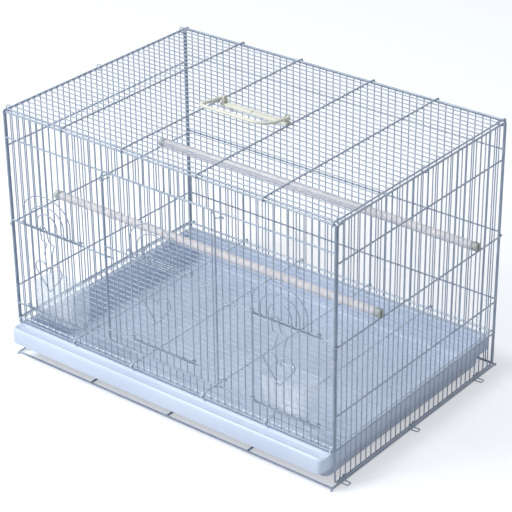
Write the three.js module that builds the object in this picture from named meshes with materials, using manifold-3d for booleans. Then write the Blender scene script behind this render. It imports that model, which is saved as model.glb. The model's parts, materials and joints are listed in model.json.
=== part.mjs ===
// Canary breeding cage: six welded wire panels hung together with wire loops, a pull-out
// plastic tray, a swinging main door, three lift-up arched doors, seed cups, perches and a
// folding carrying handle. Millimetres, +Z up, front of the cage towards -Y.

import * as THREE from 'three';
import { mergeVertices } from 'three/addons/utils/BufferGeometryUtils.js';
import Module from 'manifold-3d';

const wasm = await Module();
wasm.setup();

// ---------------------------------------------------------------- driving dimensions

// Overall
const panelSpanX = 614; // between the centre planes of the two side panels
const panelSpanY = 418; // between the centre planes of the front and back panels
const topRodZ = 418; // top rods of the four upright panels

// Wire
const wireR = 0.9; // close wires
const rodR = 1.3; // thicker cross rods
const borderR = 1.6; // rods that frame a panel
const gap = 0.3; // clearance between neighbours that touch
const sides = 4; // facets round a wire

// Wire spacing
const frontIntervals = 47; // spaces between the wires of the front and back panels
const sideIntervals = 33; // spaces between the wires of the side, top and floor panels
const frontPostInset = 0.7; // from a side panel to the corner post of the front panel
const sidePostInset = 4; // from the front panel to the corner post of a side panel

// Cross rods of the upright panels
const frontBottomZ = 62;
const sillZ = 92;
const middleRodZ = 237.5;
const upperRodZ = 376;
const sideRodZs = [64, 120, 230.7, 360];
const backRodZs = [62, 120, 236, 372];
const hookDrop = 6; // length of a rod's bent end

// Doors, between two wires of the front panel, numbered from its left post.
const mainDoorWires = { from: 16, to: 32 };
const leftDoorWires = { from: 2, to: 11 };
const rightDoorWires = { from: 36, to: 45 };
const middleDoorWires = { from: 19, to: 28 };
const doorStandoff = 4; // from a panel's plane to the small door in front of it
const doorSillRise = 5.5; // lower rail of a small door above its sill, clear of the cup's lip
const middleSillZ = 116.5; // sill rod of the small door inside the main door
const middleHeadZ = 257; // rod across the main door over that opening
const railR = 1.1;
const railRise = 144.5; // upper rail above the lower rail
const curlR = 2.8; // mean radius of a loop round a wire
const ornamentShift = -5.4; // middle of the arches from the middle of the rails
const legPitch = 13.7; // spacing of the upright wires in a small door
const archSteps = 6;
const arches = [
  { leg: 3.5, spring: 165.5, rise: 37 },
  { leg: 2.5, spring: 159.5, rise: 27 },
  { leg: 1.5, spring: 153.5, rise: 20 },
];
const heartTipZ = 42.5;
const heartLobe = { x: 15.2, z: 79.5, r: 12.2 };
const heartDepth = 1.2; // in front of the upright wires

// Main door frame
const mainDoorR = 1.5;
const mainDoorStandoff = 5.5; // its plane in front of the front panel's
const mainDoorOuterX = -107.8; // latch side
const hingeOffset = 7.4; // from the hinge wire to the frame
const mainDoorBottomZ = 95.5;
const mainDoorTopZ = 379.5;
const mainDoorCorner = 9;
const hingeR = 3.2; // mean radius of the hinge loops
const hingeInset = 11; // hinge loops from the door's top and bottom
const catchZ = 372;
const catchReach = 7;

// Loops that hang the side panels on the top panel, and hold them to the base
const loopR = 0.8;
const loopSteps = 6;
const topLoopSpaces = { front: 0, middle: 16, back: 32 }; // spaces between two side wires
const baseLoopSpaces = { front: 1, middle: 15, back: 29 };
const baseLoopReach = 10.5; // how far a base loop stands out past the base frame
const baseLoopHalf = 4; // half its width
const topEdgeInset = 3.5; // the top panel's edge rod from the side panel

// Base frame, whose edge rods turn down into feet
const baseR = 1.6;
const baseOverhangX = 1.5;
const baseOverhangY = 4;
const baseBays = 4;
const footReach = 2.5; // feet past the front and back rods

// Tray
const trayWall = 1.8;
const traySideGap = 3.7; // from a side panel's plane to the rim
const trayRimZ = 57;
const trayRimWidth = 8;
const traySkirtBottomZ = 36;
const trayFrontGap = 3; // from the front panel's plane back to the pan
const trayBackGap = 5;
const trayLipDepth = 24; // how far the front lip stands out of the cage
const trayLipFaceZ = 33; // bottom edge of the lip's face
const trayLipEdge = 8; // width of the lip's raised edge
const trayLipCrest = 1.5; // raised edge above the rim
const trayLipDish = 4; // depth of the dished flat behind it
const trayLipCorner = 9;
const trayCorner = 12;
const trayDraft = 3; // how far each wall of the pan leans in at the floor

// Perches
const perchR = 7;
const perchCapR = 7;
const perchCapLength = 11;
const perchWires = { front: 8, back: 28 }; // wire number from the front of the side panel
const capChamfer = 1.2;
const capSlot = 2.6;
const capSlotDepth = 7;
const capPastWire = 4;

// Seed cups
const cupWidth = 84;
const cupDepth = 45;
const cupHeight = 62;
const cupWall = 1.6;
const cupCorner = 9;
const cupShift = -9.5; // middle of a cup from the middle of its opening
const cupBelowSill = 14;
const cupLipWidth = 52;

// Handle
const handleSpan = 114; // between the pivots
const handleSpace = 16; // space of the top panel that it stands over, from the front
const handleStrip = { overhang: 6, width: 10, thickness: 4 };
const handleLug = { thickness: 4, pivotRise: 6.5, r: 5 };
const pivotR = 2;
const pivotClear = 0.3;
const roundFacets = 10; // facets round a plastic part
const bailReach = 58;
const bailTilt = THREE.MathUtils.degToRad(8);
const bailWidth = 5;
const bailBarWidth = 8;
const bailThickness = 5;
const bailCorner = 26;
const clipSpread = 80; // between the two wire clips under the strip
const clipThickness = 2;
const clipWidth = 6;

// ---------------------------------------------------------------- derived places

const frontY = -panelSpanY / 2;
const backY = panelSpanY / 2;
const sideX = panelSpanX / 2;
const frontPostX = sideX - frontPostInset;
const frontPitch = (2 * frontPostX) / frontIntervals;
const sidePostY = backY - sidePostInset;
const sidePitch = (2 * sidePostY) / sideIntervals;
const baseZ = 2 * loopR + gap + baseR;
const sideBottomZ = baseZ + baseR + gap + borderR;
const hookReach = borderR + rodR + gap; // a bent end passes the rod that it holds
const frontWireX = (k) => -frontPostX + k * frontPitch;
const sideWireY = (j) => -sidePostY + j * sidePitch;
const spacedOff = wireR + rodR + gap; // a cross rod that passes beside the wires

// Top panel: its edge rods lie on the front and back panels' top rods.
const topWireZ = topRodZ + borderR + gap + rodR;
const topEdgeX = sideX - topEdgeInset;
// Floor grate: its edge rods lie on the bottom rod of the front panel.
const grateWireZ = frontBottomZ + borderR + gap + rodR;
const grateEdgeX = frontPostX - borderR - gap - rodR;
// Cross rods stand beside a wire of the front panel, so they can pass between the wires.
const crossWires = [29, 38];
const crossRodX = crossWires.map((k) => frontWireX(k) - wireR - rodR - gap);

const v = (x, y, z) => new THREE.Vector3(x, y, z);

// ---------------------------------------------------------------- finishes

const material = (color, roughness, metalness = 0) =>
  new THREE.MeshStandardMaterial({ color, roughness, metalness });
const wireCoat = () => material(0xdfe6ee, 0.35, 0.1);
const trayPlastic = () => material(0xe4e8f4, 0.3);
const handlePlastic = () => material(0xe6e4cf, 0.4);
const perchPlastic = () => material(0xdcd9dc, 0.45);
const capPlastic = () => material(0x8f9a82, 0.5);
const cupPlastic = () => material(0xf2f6fa, 0.1);

// ---------------------------------------------------------------- joining and cutting

function solid(geometry) {
  const bare = geometry.clone();
  bare.deleteAttribute('normal');
  bare.deleteAttribute('uv');
  const merged = mergeVertices(bare, 1e-4);
  return new wasm.Manifold(
    new wasm.Mesh({
      numProp: 3,
      vertProperties: new Float32Array(merged.attributes.position.array),
      triVerts: new Uint32Array(merged.index.array),
    }),
  );
}

function join(geometries) {
  const parts = geometries.map(solid);
  // Joined in pairs, so that no step handles more than it has to.
  while (parts.length > 1) parts.push(parts.shift().add(parts.shift()));
  return parts[0];
}

function geometryOf(manifold) {
  const mesh = manifold.getMesh();
  const geometry = new THREE.BufferGeometry();
  geometry.setAttribute('position', new THREE.BufferAttribute(mesh.vertProperties, 3));
  geometry.setIndex(new THREE.BufferAttribute(mesh.triVerts, 1));
  geometry.computeVertexNormals();
  return geometry;
}

function piece(name, geometry, finish) {
  const mesh = new THREE.Mesh(geometry, finish);
  mesh.name = name;
  return mesh;
}

const wirePiece = (name, geometries) => piece(name, geometryOf(join(geometries)), wireCoat());

// ---------------------------------------------------------------- wire forms

// A curve through the given points whose sections stand on the points themselves.
class WirePath extends THREE.Curve {
  constructor(points, closed = false) {
    super();
    this.points = closed ? [...points, points[0]] : points;
    this.closed = closed;
  }

  getPoint(t, target = new THREE.Vector3()) {
    const at = t * (this.points.length - 1);
    const i = Math.min(Math.floor(at + 1e-9), this.points.length - 2);
    return target.lerpVectors(this.points[i], this.points[i + 1], at - i);
  }

  getPointAt(u, target) {
    return this.getPoint(u, target);
  }

  getTangentAt(u, target = new THREE.Vector3()) {
    const last = this.points.length - 1;
    const i = Math.round(u * last);
    const before = i > 0 ? i - 1 : this.closed ? last - 1 : 0;
    const after = i < last ? i + 1 : this.closed ? 1 : last;
    const here = this.points[i];
    const incoming = here.clone().sub(this.points[before]).normalize();
    const outgoing = this.points[after].clone().sub(here).normalize();
    return target.addVectors(incoming, outgoing).normalize();
  }
}

// A straight wire, edge-on to the axes so that crossing wires meet edge to edge.
function rod(a, b, r) {
  const along = b.clone().sub(a);
  const geometry = new THREE.CylinderGeometry(r, r, along.length(), sides);
  const turn = new THREE.Quaternion().setFromUnitVectors(v(0, 1, 0), along.normalize());
  geometry.applyQuaternion(turn);
  const middle = a.clone().add(b).multiplyScalar(0.5);
  return geometry.translate(middle.x, middle.y, middle.z);
}

// Replaces each corner of a bent wire with a short curve.
function rounded(corners, r, closed = false, steps = 3) {
  const points = [];
  const n = corners.length;
  corners.forEach((corner, i) => {
    if (!closed && (i === 0 || i === n - 1)) {
      points.push(corner);
      return;
    }
    const back = corners[(i + n - 1) % n].clone().sub(corner).normalize();
    const ahead = corners[(i + 1) % n].clone().sub(corner).normalize();
    const trim = r / Math.tan(back.angleTo(ahead) / 2);
    const start = corner.clone().addScaledVector(back, trim);
    const end = corner.clone().addScaledVector(ahead, trim);
    const bend = new THREE.QuadraticBezierCurve3(start, corner, end);
    points.push(...bend.getPoints(steps));
  });
  return points;
}

const wireSection = (r) =>
  new THREE.Shape([
    new THREE.Vector2(r, 0),
    new THREE.Vector2(0, r),
    new THREE.Vector2(-r, 0),
    new THREE.Vector2(0, -r),
  ]);

function bentWire(points, r) {
  return new THREE.ExtrudeGeometry(wireSection(r), {
    steps: points.length - 1,
    bevelEnabled: false,
    extrudePath: new WirePath(points),
  });
}

const wireFrame = (points, r) =>
  new THREE.TubeGeometry(new WirePath(points, true), points.length, r, sides, true);

// A ring of wire round an axis along X, Y or Z.
function ring(centre, axis, meanR, r, steps = loopSteps) {
  const geometry = new THREE.TorusGeometry(meanR, r, sides, steps);
  if (axis === 'x') geometry.rotateY(Math.PI / 2);
  if (axis === 'y') geometry.rotateX(Math.PI / 2);
  return geometry.translate(centre.x, centre.y, centre.z);
}

const count = (from, to) => Array.from({ length: to - from + 1 }, (_, i) => from + i);

// ---------------------------------------------------------------- upright panels

const inside = (k, wires) => k > wires.from && k < wires.to;

function frontPanel() {
  const upright = (k, low, high) =>
    rod(v(frontWireX(k), frontY, low), v(frontWireX(k), frontY, high), wireR);
  const across = (from, to, z, r) => rod(v(from, frontY, z), v(to, frontY, z), r);
  const post = (x) => rod(v(x, frontY, frontBottomZ), v(x, frontY, topRodZ), borderR);
  const parts = [post(-frontPostX), post(frontPostX)];
  for (const k of count(1, frontIntervals - 1)) {
    const behindMain = inside(k, mainDoorWires);
    const behindSmall = inside(k, leftDoorWires) || inside(k, rightDoorWires);
    if (behindMain || behindSmall) {
      parts.push(upright(k, frontBottomZ, sillZ));
      parts.push(upright(k, behindMain ? upperRodZ : middleRodZ, topRodZ));
    } else {
      parts.push(upright(k, frontBottomZ, topRodZ));
    }
  }
  parts.push(across(-frontPostX, frontPostX, frontBottomZ, borderR));
  parts.push(across(-frontPostX, frontPostX, topRodZ, borderR));
  parts.push(across(-frontPostX, frontPostX, sillZ, rodR));
  parts.push(across(-frontPostX, frontPostX, upperRodZ, rodR));
  parts.push(across(-frontPostX, frontWireX(mainDoorWires.from), middleRodZ, rodR));
  parts.push(across(frontWireX(mainDoorWires.to), frontPostX, middleRodZ, rodR));
  return wirePiece('front_panel', parts);
}

function backPanel() {
  const x = frontPostX;
  const corners = [v(-x, backY, sideBottomZ), v(x, backY, sideBottomZ)];
  corners.push(v(x, backY, topRodZ), v(-x, backY, topRodZ));
  const parts = [wireFrame(rounded(corners, borderR * 2, true), borderR)];
  for (const k of count(1, frontIntervals - 1)) {
    parts.push(rod(v(frontWireX(k), backY, sideBottomZ), v(frontWireX(k), backY, topRodZ), wireR));
  }
  for (const z of backRodZs) {
    parts.push(rod(v(-x, backY + spacedOff, z), v(x, backY + spacedOff, z), rodR));
  }
  return wirePiece('back_panel', parts);
}

function sidePanel(name, hand) {
  const x = hand * sideX;
  const outerX = x + hand * spacedOff;
  const corners = [v(x, -sidePostY, sideBottomZ), v(x, sidePostY, sideBottomZ)];
  corners.push(v(x, sidePostY, topRodZ), v(x, -sidePostY, topRodZ));
  const parts = [wireFrame(rounded(corners, borderR * 4, true), borderR)];
  for (const j of count(1, sideIntervals - 1)) {
    parts.push(rod(v(x, sideWireY(j), sideBottomZ), v(x, sideWireY(j), topRodZ), wireR));
  }
  const hookY = backY + hookReach;
  for (const z of sideRodZs) {
    const hooked = z === sideRodZs[2];
    const end = hooked ? hookY : sidePostY;
    const line = [v(outerX, -end, z), v(outerX, end, z)];
    if (hooked) {
      line.unshift(v(outerX - hand * hookDrop, -end, z));
      line.push(v(outerX - hand * hookDrop, end, z));
    }
    parts.push(bentWire(rounded(line, rodR * 2), rodR));
  }
  return wirePiece(name, parts);
}

// ---------------------------------------------------------------- top panel and floor grate

// Close wires along X on rods that run front to back, whose ends hook over the panels.
function hookedGrille(name, { wireZ, edgeX, backReach }) {
  const parts = [];
  for (const j of count(0, sideIntervals)) {
    const y = sideWireY(j);
    const r = j === 0 || j === sideIntervals ? borderR : wireR;
    parts.push(rod(v(-edgeX, y, wireZ), v(edgeX, y, wireZ), r));
  }
  const hookedRod = (x, z) => {
    const line = [v(x, frontY - hookReach, z - hookDrop), v(x, frontY - hookReach, z)];
    line.push(v(x, backY + backReach, z), v(x, backY + backReach, z - hookDrop));
    return bentWire(rounded(line, rodR * 2, false, 2), rodR);
  };
  for (const hand of [-1, 1]) {
    parts.push(hookedRod(hand * edgeX, wireZ));
    for (const x of crossRodX) parts.push(hookedRod(hand * x, wireZ + spacedOff));
  }
  return wirePiece(name, parts);
}

const topPanel = () =>
  hookedGrille('top_panel', {
    wireZ: topWireZ,
    edgeX: topEdgeX,
    backReach: hookReach,
  });

const floorGrate = () =>
  hookedGrille('floor_grate', {
    wireZ: grateWireZ,
    edgeX: grateEdgeX,
    backReach: spacedOff + 2 * rodR + gap,
  });

// ---------------------------------------------------------------- base frame and loops

const baseX = sideX + baseOverhangX;
const baseFrontY = frontY - baseOverhangY;
const baseBackY = backY + baseOverhangY;

function baseFrame() {
  const parts = [baseFrontY, baseBackY].map((y) => rod(v(-baseX, y, baseZ), v(baseX, y, baseZ), baseR));
  for (const i of count(1, baseBays - 1)) {
    const x = -baseX + (2 * baseX * i) / baseBays;
    parts.push(rod(v(x, baseFrontY, baseZ), v(x, baseBackY, baseZ), baseR));
  }
  const footFrontY = baseFrontY - footReach;
  const footBackY = baseBackY + footReach;
  for (const x of [-baseX, baseX]) {
    const line = [v(x, footFrontY, 0), v(x, footFrontY, baseZ), v(x, footBackY, baseZ), v(x, footBackY, 0)];
    parts.push(bentWire(rounded(line, footReach, false, 2), baseR));
  }
  return wirePiece('base_frame', parts);
}

// A ring round the edge rod of the top panel and the top rod of a side panel.
function topLoop(name, hand, y) {
  const edge = v(hand * topEdgeX, y, topWireZ);
  const top = v(hand * sideX, y, topRodZ);
  const centre = edge.clone().add(top).multiplyScalar(0.5);
  const meanR = edge.distanceTo(top) / 2 + borderR + gap + loopR;
  return wirePiece(name, [ring(centre, 'y', meanR, loopR)]);
}

// A staple that hooks over the bottom rod of a side panel, passes under the base frame and
// stands out along the floor.
function baseLoop(name, hand, y) {
  const at = (x, across, z) => v(hand * x, y + across * baseLoopHalf, z);
  const inner = sideX - borderR - gap - loopR;
  const outer = baseX + baseLoopReach;
  const tip = sideX + borderR;
  const over = sideBottomZ + borderR + gap + loopR;
  const leg = (side) => [at(tip, side, over), at(inner, side, over), at(inner, side, loopR)];
  const line = [...leg(-1), at(outer, -1, loopR), at(outer, 1, loopR), ...leg(1).reverse()];
  return wirePiece(name, [bentWire(rounded(line, 1.5, false, 1), loopR)]);
}

function loops() {
  const made = [];
  for (const [side, hand] of [['left', -1], ['right', 1]]) {
    for (const [place, space] of Object.entries(topLoopSpaces)) {
      made.push(topLoop(`top_loop_${side}_${place}`, hand, sideWireY(space + 0.5)));
    }
    for (const [place, space] of Object.entries(baseLoopSpaces)) {
      made.push(baseLoop(`base_loop_${side}_${place}`, hand, sideWireY(space + 0.5)));
    }
  }
  return made;
}

// ---------------------------------------------------------------- doors

// The arches, bird neck and heart stand between two rails whose ends curl round the wires
// that the door slides on. Local zero is the middle of the lower rail.
function archedDoor(name, wires, planeY, railZ) {
  const left = frontWireX(wires.from);
  const right = frontWireX(wires.to);
  const middle = (left + right) / 2 + ornamentShift;
  const doorY = planeY - doorStandoff;
  const at = (x, z) => v(middle + x, doorY, railZ + z);
  const parts = [];

  for (const rise of [0, railRise]) {
    const z = railZ + rise;
    parts.push(rod(v(left, doorY, z), v(right, doorY, z), railR));
    for (const x of [left, right]) parts.push(ring(v(x, planeY, z), 'z', curlR, wireR));
  }

  for (const { leg, spring, rise } of arches) {
    const half = leg * legPitch;
    const crown = count(0, archSteps).map((i) => {
      const turn = Math.PI - (Math.PI * i) / archSteps;
      return at(half * Math.cos(turn), spring + rise * Math.sin(turn));
    });
    parts.push(bentWire([at(-half, 0), ...crown, at(half, 0)], wireR));
  }

  parts.push(bentWire(neckOutline(at), wireR));
  const front = (x, z) => at(x, z).add(v(0, -heartDepth, 0));
  parts.push(bentWire(heartOutline(front), wireR));
  return wirePiece(name, parts);
}

// The two middle wires swing aside below the head and close in a small round crown.
function neckOutline(at) {
  const half = legPitch / 2;
  const lean = 6; // how far the neck stands to one side
  const shoulderZ = 108;
  const throatZ = 127;
  const headZ = 151;
  const crownR = 6.4;
  const side = (x) => [
    at(x, shoulderZ),
    at(x + lean, throatZ),
    at(x - lean / 2, throatZ + 4),
    at(x - lean - 2, headZ),
  ];
  const crownX = -lean - 2;
  const crown = count(1, 4).map((i) => {
    const turn = Math.PI - (Math.PI * i) / 5;
    return at(crownX + crownR * Math.cos(turn), headZ + crownR * Math.sin(turn));
  });
  return [at(-half, 0), ...side(-half), ...crown, ...side(half).reverse(), at(half, 0)];
}

// An open heart, tip down, whose lobes curl in at the top.
function heartOutline(front) {
  const from = THREE.MathUtils.degToRad(-20);
  const sweep = THREE.MathUtils.degToRad(215);
  const steps = 5;
  const lobe = (hand) =>
    count(0, steps).map((i) => {
      const turn = from + (sweep * i) / steps;
      const x = heartLobe.x + heartLobe.r * Math.cos(turn);
      return front(hand * x, heartLobe.z + heartLobe.r * Math.sin(turn));
    });
  return [...lobe(-1).reverse(), front(0, heartTipZ), ...lobe(1)];
}

const hingeX = frontWireX(mainDoorWires.to);
const mainDoorY = frontY - mainDoorStandoff;
const mainDoorInnerX = hingeX - hingeOffset;

function mainDoor() {
  const y = mainDoorY;
  const corners = [v(mainDoorOuterX, y, mainDoorBottomZ), v(mainDoorInnerX, y, mainDoorBottomZ)];
  corners.push(v(mainDoorInnerX, y, mainDoorTopZ), v(mainDoorOuterX, y, mainDoorTopZ));
  const parts = [wireFrame(rounded(corners, mainDoorCorner, true, 4), mainDoorR)];
  for (const k of count(mainDoorWires.from + 1, mainDoorWires.to - 1)) {
    const x = frontWireX(k);
    const spans = inside(k, middleDoorWires)
      ? [[mainDoorBottomZ, middleSillZ], [middleHeadZ, mainDoorTopZ]]
      : [[mainDoorBottomZ, mainDoorTopZ]];
    for (const [low, high] of spans) parts.push(rod(v(x, y, low), v(x, y, high), wireR));
  }
  for (const z of [middleSillZ, middleHeadZ]) {
    parts.push(rod(v(mainDoorOuterX, y, z), v(mainDoorInnerX, y, z), rodR));
  }
  // Hinge loops round the hinge wire, each on a short arm from the frame.
  const armEnd = hingeR * Math.SQRT1_2;
  for (const z of [mainDoorBottomZ + hingeInset, mainDoorTopZ - hingeInset]) {
    parts.push(ring(v(hingeX, frontY, z), 'z', hingeR, wireR));
    parts.push(rod(v(mainDoorInnerX, y, z), v(hingeX - armEnd, frontY - armEnd, z), wireR));
  }
  // Spring catch: a loop on the frame with a tail that presses past the next wire.
  const tailX = frontWireX(mainDoorWires.from) - wireR - gap - loopR;
  const catchLine = [v(mainDoorOuterX, y, catchZ), v(tailX, y - 2, catchZ - 3)];
  catchLine.push(v(tailX, y + catchReach, catchZ - 3));
  parts.push(bentWire(rounded(catchLine, 1.2), loopR));
  return wirePiece('main_door', parts);
}

// ---------------------------------------------------------------- plastic parts

function roundedPlan(x0, x1, y0, y1, r) {
  const plan = new THREE.Shape();
  plan.moveTo(x0 + r, y0);
  plan.lineTo(x1 - r, y0);
  plan.absarc(x1 - r, y0 + r, r, -Math.PI / 2, 0);
  plan.lineTo(x1, y1 - r);
  plan.absarc(x1 - r, y1 - r, r, 0, Math.PI / 2);
  plan.lineTo(x0 + r, y1);
  plan.absarc(x0 + r, y1 - r, r, Math.PI / 2, Math.PI);
  plan.lineTo(x0, y0 + r);
  plan.absarc(x0 + r, y0 + r, r, Math.PI, Math.PI * 1.5);
  return plan;
}

// A block with rounded upright corners between two heights.
function slab(x0, x1, y0, y1, z0, z1, r) {
  const geometry = new THREE.ExtrudeGeometry(roundedPlan(x0, x1, y0, y1, r), {
    depth: z1 - z0,
    bevelEnabled: false,
    curveSegments: 3,
  });
  return geometry.translate(0, 0, z0);
}

const box = (x0, x1, y0, y1, z0, z1) =>
  new THREE.BoxGeometry(x1 - x0, y1 - y0, z1 - z0)
    .translate((x0 + x1) / 2, (y0 + y1) / 2, (z0 + z1) / 2);

// ---------------------------------------------------------------- tray

const trayFloorZ = baseZ + baseR + gap;
const trayRimX = sideX - traySideGap;
const trayPanX = trayRimX - trayRimWidth;
const trayPanFrontY = frontY + trayFrontGap;
const trayRimBackY = backY - trayBackGap;
const trayPanBackY = trayRimBackY - trayRimWidth;
const plate = 0.1; // thickness of the two outlines that a tapered form is drawn between

function tray() {
  const w = trayWall;
  const panPlate = (inset, z) =>
    solid(slab(
      -trayPanX + inset, trayPanX - inset, trayPanFrontY + inset, trayPanBackY - inset,
      z, z + plate, trayCorner,
    ));
  // The pan's walls lean out from the floor to the rim.
  const pan = (inset, low, high) =>
    wasm.Manifold.hull([panPlate(inset + trayDraft, low), panPlate(inset, high - plate)]);
  // Rim with a turned-down skirt round the two sides and the back.
  const rimPlan = (inset, frontInset, low, high) =>
    solid(slab(
      -trayRimX + inset, trayRimX - inset, trayPanFrontY + frontInset, trayRimBackY - inset,
      low, high, trayCorner / 2,
    ));
  const skirt = rimPlan(0, 0, traySkirtBottomZ, trayRimZ)
    .subtract(rimPlan(w, -trayCorner, traySkirtBottomZ - 1, trayRimZ - w));
  const shell = pan(0, trayFloorZ, trayRimZ).add(skirt).add(trayLip());
  const cavity = pan(w, trayFloorZ + w, trayRimZ + plate);
  return piece('tray', geometryOf(shell.subtract(cavity)), trayPlastic());
}

// The lip's section, from the pan's front wall over the dished flat and the raised round
// edge to the front face. Inset draws the same line inside the plastic.
function lipSection(inset) {
  const back = -trayPanFrontY - trayWall / 2 + 2 * inset;
  const face = -frontY + trayLipDepth - inset;
  const top = trayRimZ - inset;
  const flat = top - trayLipDish;
  const edgeMiddle = face - trayLipEdge / 2 + inset / 2;
  const edgeR = trayLipEdge / 2 - inset / 2;
  const edge = count(0, 4).map((i) => {
    const turn = Math.PI - (Math.PI * i) / 4;
    const rise = trayLipDish + trayLipCrest;
    return [edgeMiddle + edgeR * Math.cos(turn), flat + rise * Math.sin(turn)];
  });
  const bottom = trayLipFaceZ - inset;
  const line = [[back, bottom], [back, top], [back + 2, top], [back + 5, flat], ...edge, [face, bottom]];
  return new THREE.Shape(line.map(([y, z]) => new THREE.Vector2(y, z)));
}

function lipBlock(inset) {
  const x = trayRimX - inset;
  const drawn = new THREE.ExtrudeGeometry(lipSection(inset), { depth: 2 * x, bevelEnabled: false });
  // The section's first axis runs forwards along -Y and its second axis up.
  drawn.applyMatrix4(new THREE.Matrix4().makeBasis(v(0, -1, 0), v(0, 0, 1), v(-1, 0, 0)));
  drawn.translate(x, 0, 0);
  const faceY = frontY - trayLipDepth + inset;
  const plan = slab(-x, x, faceY, frontY + trayCorner, 0, 2 * trayRimZ, trayLipCorner - inset);
  return solid(drawn).intersect(solid(plan));
}

const trayLip = () => lipBlock(0).subtract(lipBlock(trayWall));

// ---------------------------------------------------------------- perches

const perchZ = sideRodZs[2] + rodR + gap + perchCapR;

// A cap whose slot grips one wire of a side panel, resting on the cross rod outside it.
function perchCap(name, hand, y) {
  const outer = sideX + capPastWire;
  const p = (r, x) => new THREE.Vector2(r, x);
  const chamfered = perchCapR - capChamfer;
  const profile = [p(0, 0), p(perchCapR, 0), p(perchCapR, perchCapLength - capChamfer)];
  profile.push(p(chamfered, perchCapLength), p(0, perchCapLength));
  const turned = new THREE.LatheGeometry(profile, roundFacets).rotateZ(-Math.PI / 2);
  const body = solid(turned.translate(outer - perchCapLength, 0, 0));
  const slot = box(outer - capSlotDepth, outer + 1, -capSlot / 2, capSlot / 2, -perchR - 1, perchR + 1);
  const geometry = geometryOf(body.subtract(solid(slot)));
  const cap = piece(name, geometry, capPlastic());
  if (hand < 0) cap.rotation.z = Math.PI;
  cap.position.set(0, y, perchZ);
  return cap;
}

function perches() {
  const made = [];
  const half = sideX + capPastWire - perchCapLength - gap;
  for (const [place, wire] of Object.entries(perchWires)) {
    const y = sideWireY(wire);
    const bar = new THREE.CylinderGeometry(perchR, perchR, 2 * half, roundFacets).rotateZ(Math.PI / 2);
    const perch = piece(`perch_${place}`, geometryOf(solid(bar)), perchPlastic());
    perch.position.set(0, y, perchZ);
    made.push(perch, perchCap(`perch_${place}_cap_left`, -1, y));
    made.push(perchCap(`perch_${place}_cap_right`, 1, y));
  }
  return made;
}

// ---------------------------------------------------------------- seed cups

// An open cup behind a small door: its lip hangs on the sill rod and its front leans on the
// wires below.
function seedCup(name, wires) {
  const middle = (frontWireX(wires.from) + frontWireX(wires.to)) / 2 + cupShift;
  const y0 = frontY + rodR + gap;
  const y1 = y0 + cupDepth;
  const x0 = middle - cupWidth / 2;
  const x1 = middle + cupWidth / 2;
  const z0 = sillZ - cupBelowSill;
  const z1 = z0 + cupHeight;
  const w = cupWall;
  const outside = solid(slab(x0, x1, y0, y1, z0, z1, cupCorner));
  const within = solid(slab(x0 + w, x1 - w, y0 + w, y1 - w, z0 + w, z1 + 1, cupCorner - w));
  const lipZ = sillZ + rodR + gap;
  const half = cupLipWidth / 2;
  const lip = box(middle - half, middle + half, frontY - rodR, y0 + w / 2, lipZ, lipZ + w);
  return piece(name, geometryOf(outside.subtract(within).add(solid(lip))), cupPlastic());
}

// ---------------------------------------------------------------- handle

// The strip's right end lies against the cross rod right of the middle.
const handleX = crossRodX[0] - rodR - gap - handleStrip.overhang - handleSpan / 2;
const handleY = sideWireY(handleSpace + 0.5);
const stripZ = topWireZ + wireR + gap;
const pivotZ = stripZ + handleStrip.thickness + handleLug.pivotRise;

// A drum along X.
const drum = (r, x0, x1) =>
  new THREE.CylinderGeometry(r, r, x1 - x0, roundFacets).rotateZ(Math.PI / 2).translate((x0 + x1) / 2, 0, 0);

function handleBase() {
  const half = handleSpan / 2;
  const end = half + handleStrip.overhang;
  const halfWidth = handleStrip.width / 2;
  const stripTop = -handleLug.pivotRise;
  const stripBottom = stripTop - handleStrip.thickness;
  const parts = [slab(-end, end, -halfWidth, halfWidth, stripBottom, stripTop, 2)];
  const bores = [];
  for (const x of [-half, half]) {
    const x0 = x - handleLug.thickness / 2;
    const x1 = x + handleLug.thickness / 2;
    parts.push(drum(handleLug.r, x0, x1));
    parts.push(box(x0, x1, -handleLug.r + 0.2, handleLug.r - 0.2, stripTop - 1, 0));
    bores.push(drum((pivotR + pivotClear) / Math.cos(Math.PI / roundFacets), x0 - 1, x1 + 1));
  }
  // Clips that snap down between two wires of the top panel and hook out under them.
  const hookZ = stripBottom - 2 * (gap + wireR);
  const legOuter = sidePitch / 2 - wireR - gap;
  const legInner = legOuter - clipThickness;
  const hookTip = sidePitch / 2;
  for (const x of [-clipSpread / 2, clipSpread / 2]) {
    for (const hand of [-1, 1]) {
      const across = (from, to, z0, z1) =>
        box(x - clipWidth / 2, x + clipWidth / 2, Math.min(hand * from, hand * to),
          Math.max(hand * from, hand * to), z0, z1);
      parts.push(across(legInner, legOuter, hookZ - clipThickness, stripBottom + 1));
      parts.push(across(legInner, hookTip, hookZ - clipThickness, hookZ));
    }
  }
  const made = bores.map(solid).reduce((a, b) => a.subtract(b), join(parts));
  const base = piece('handle_base', geometryOf(made), handlePlastic());
  base.position.set(handleX, handleY, pivotZ);
  return base;
}

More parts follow.
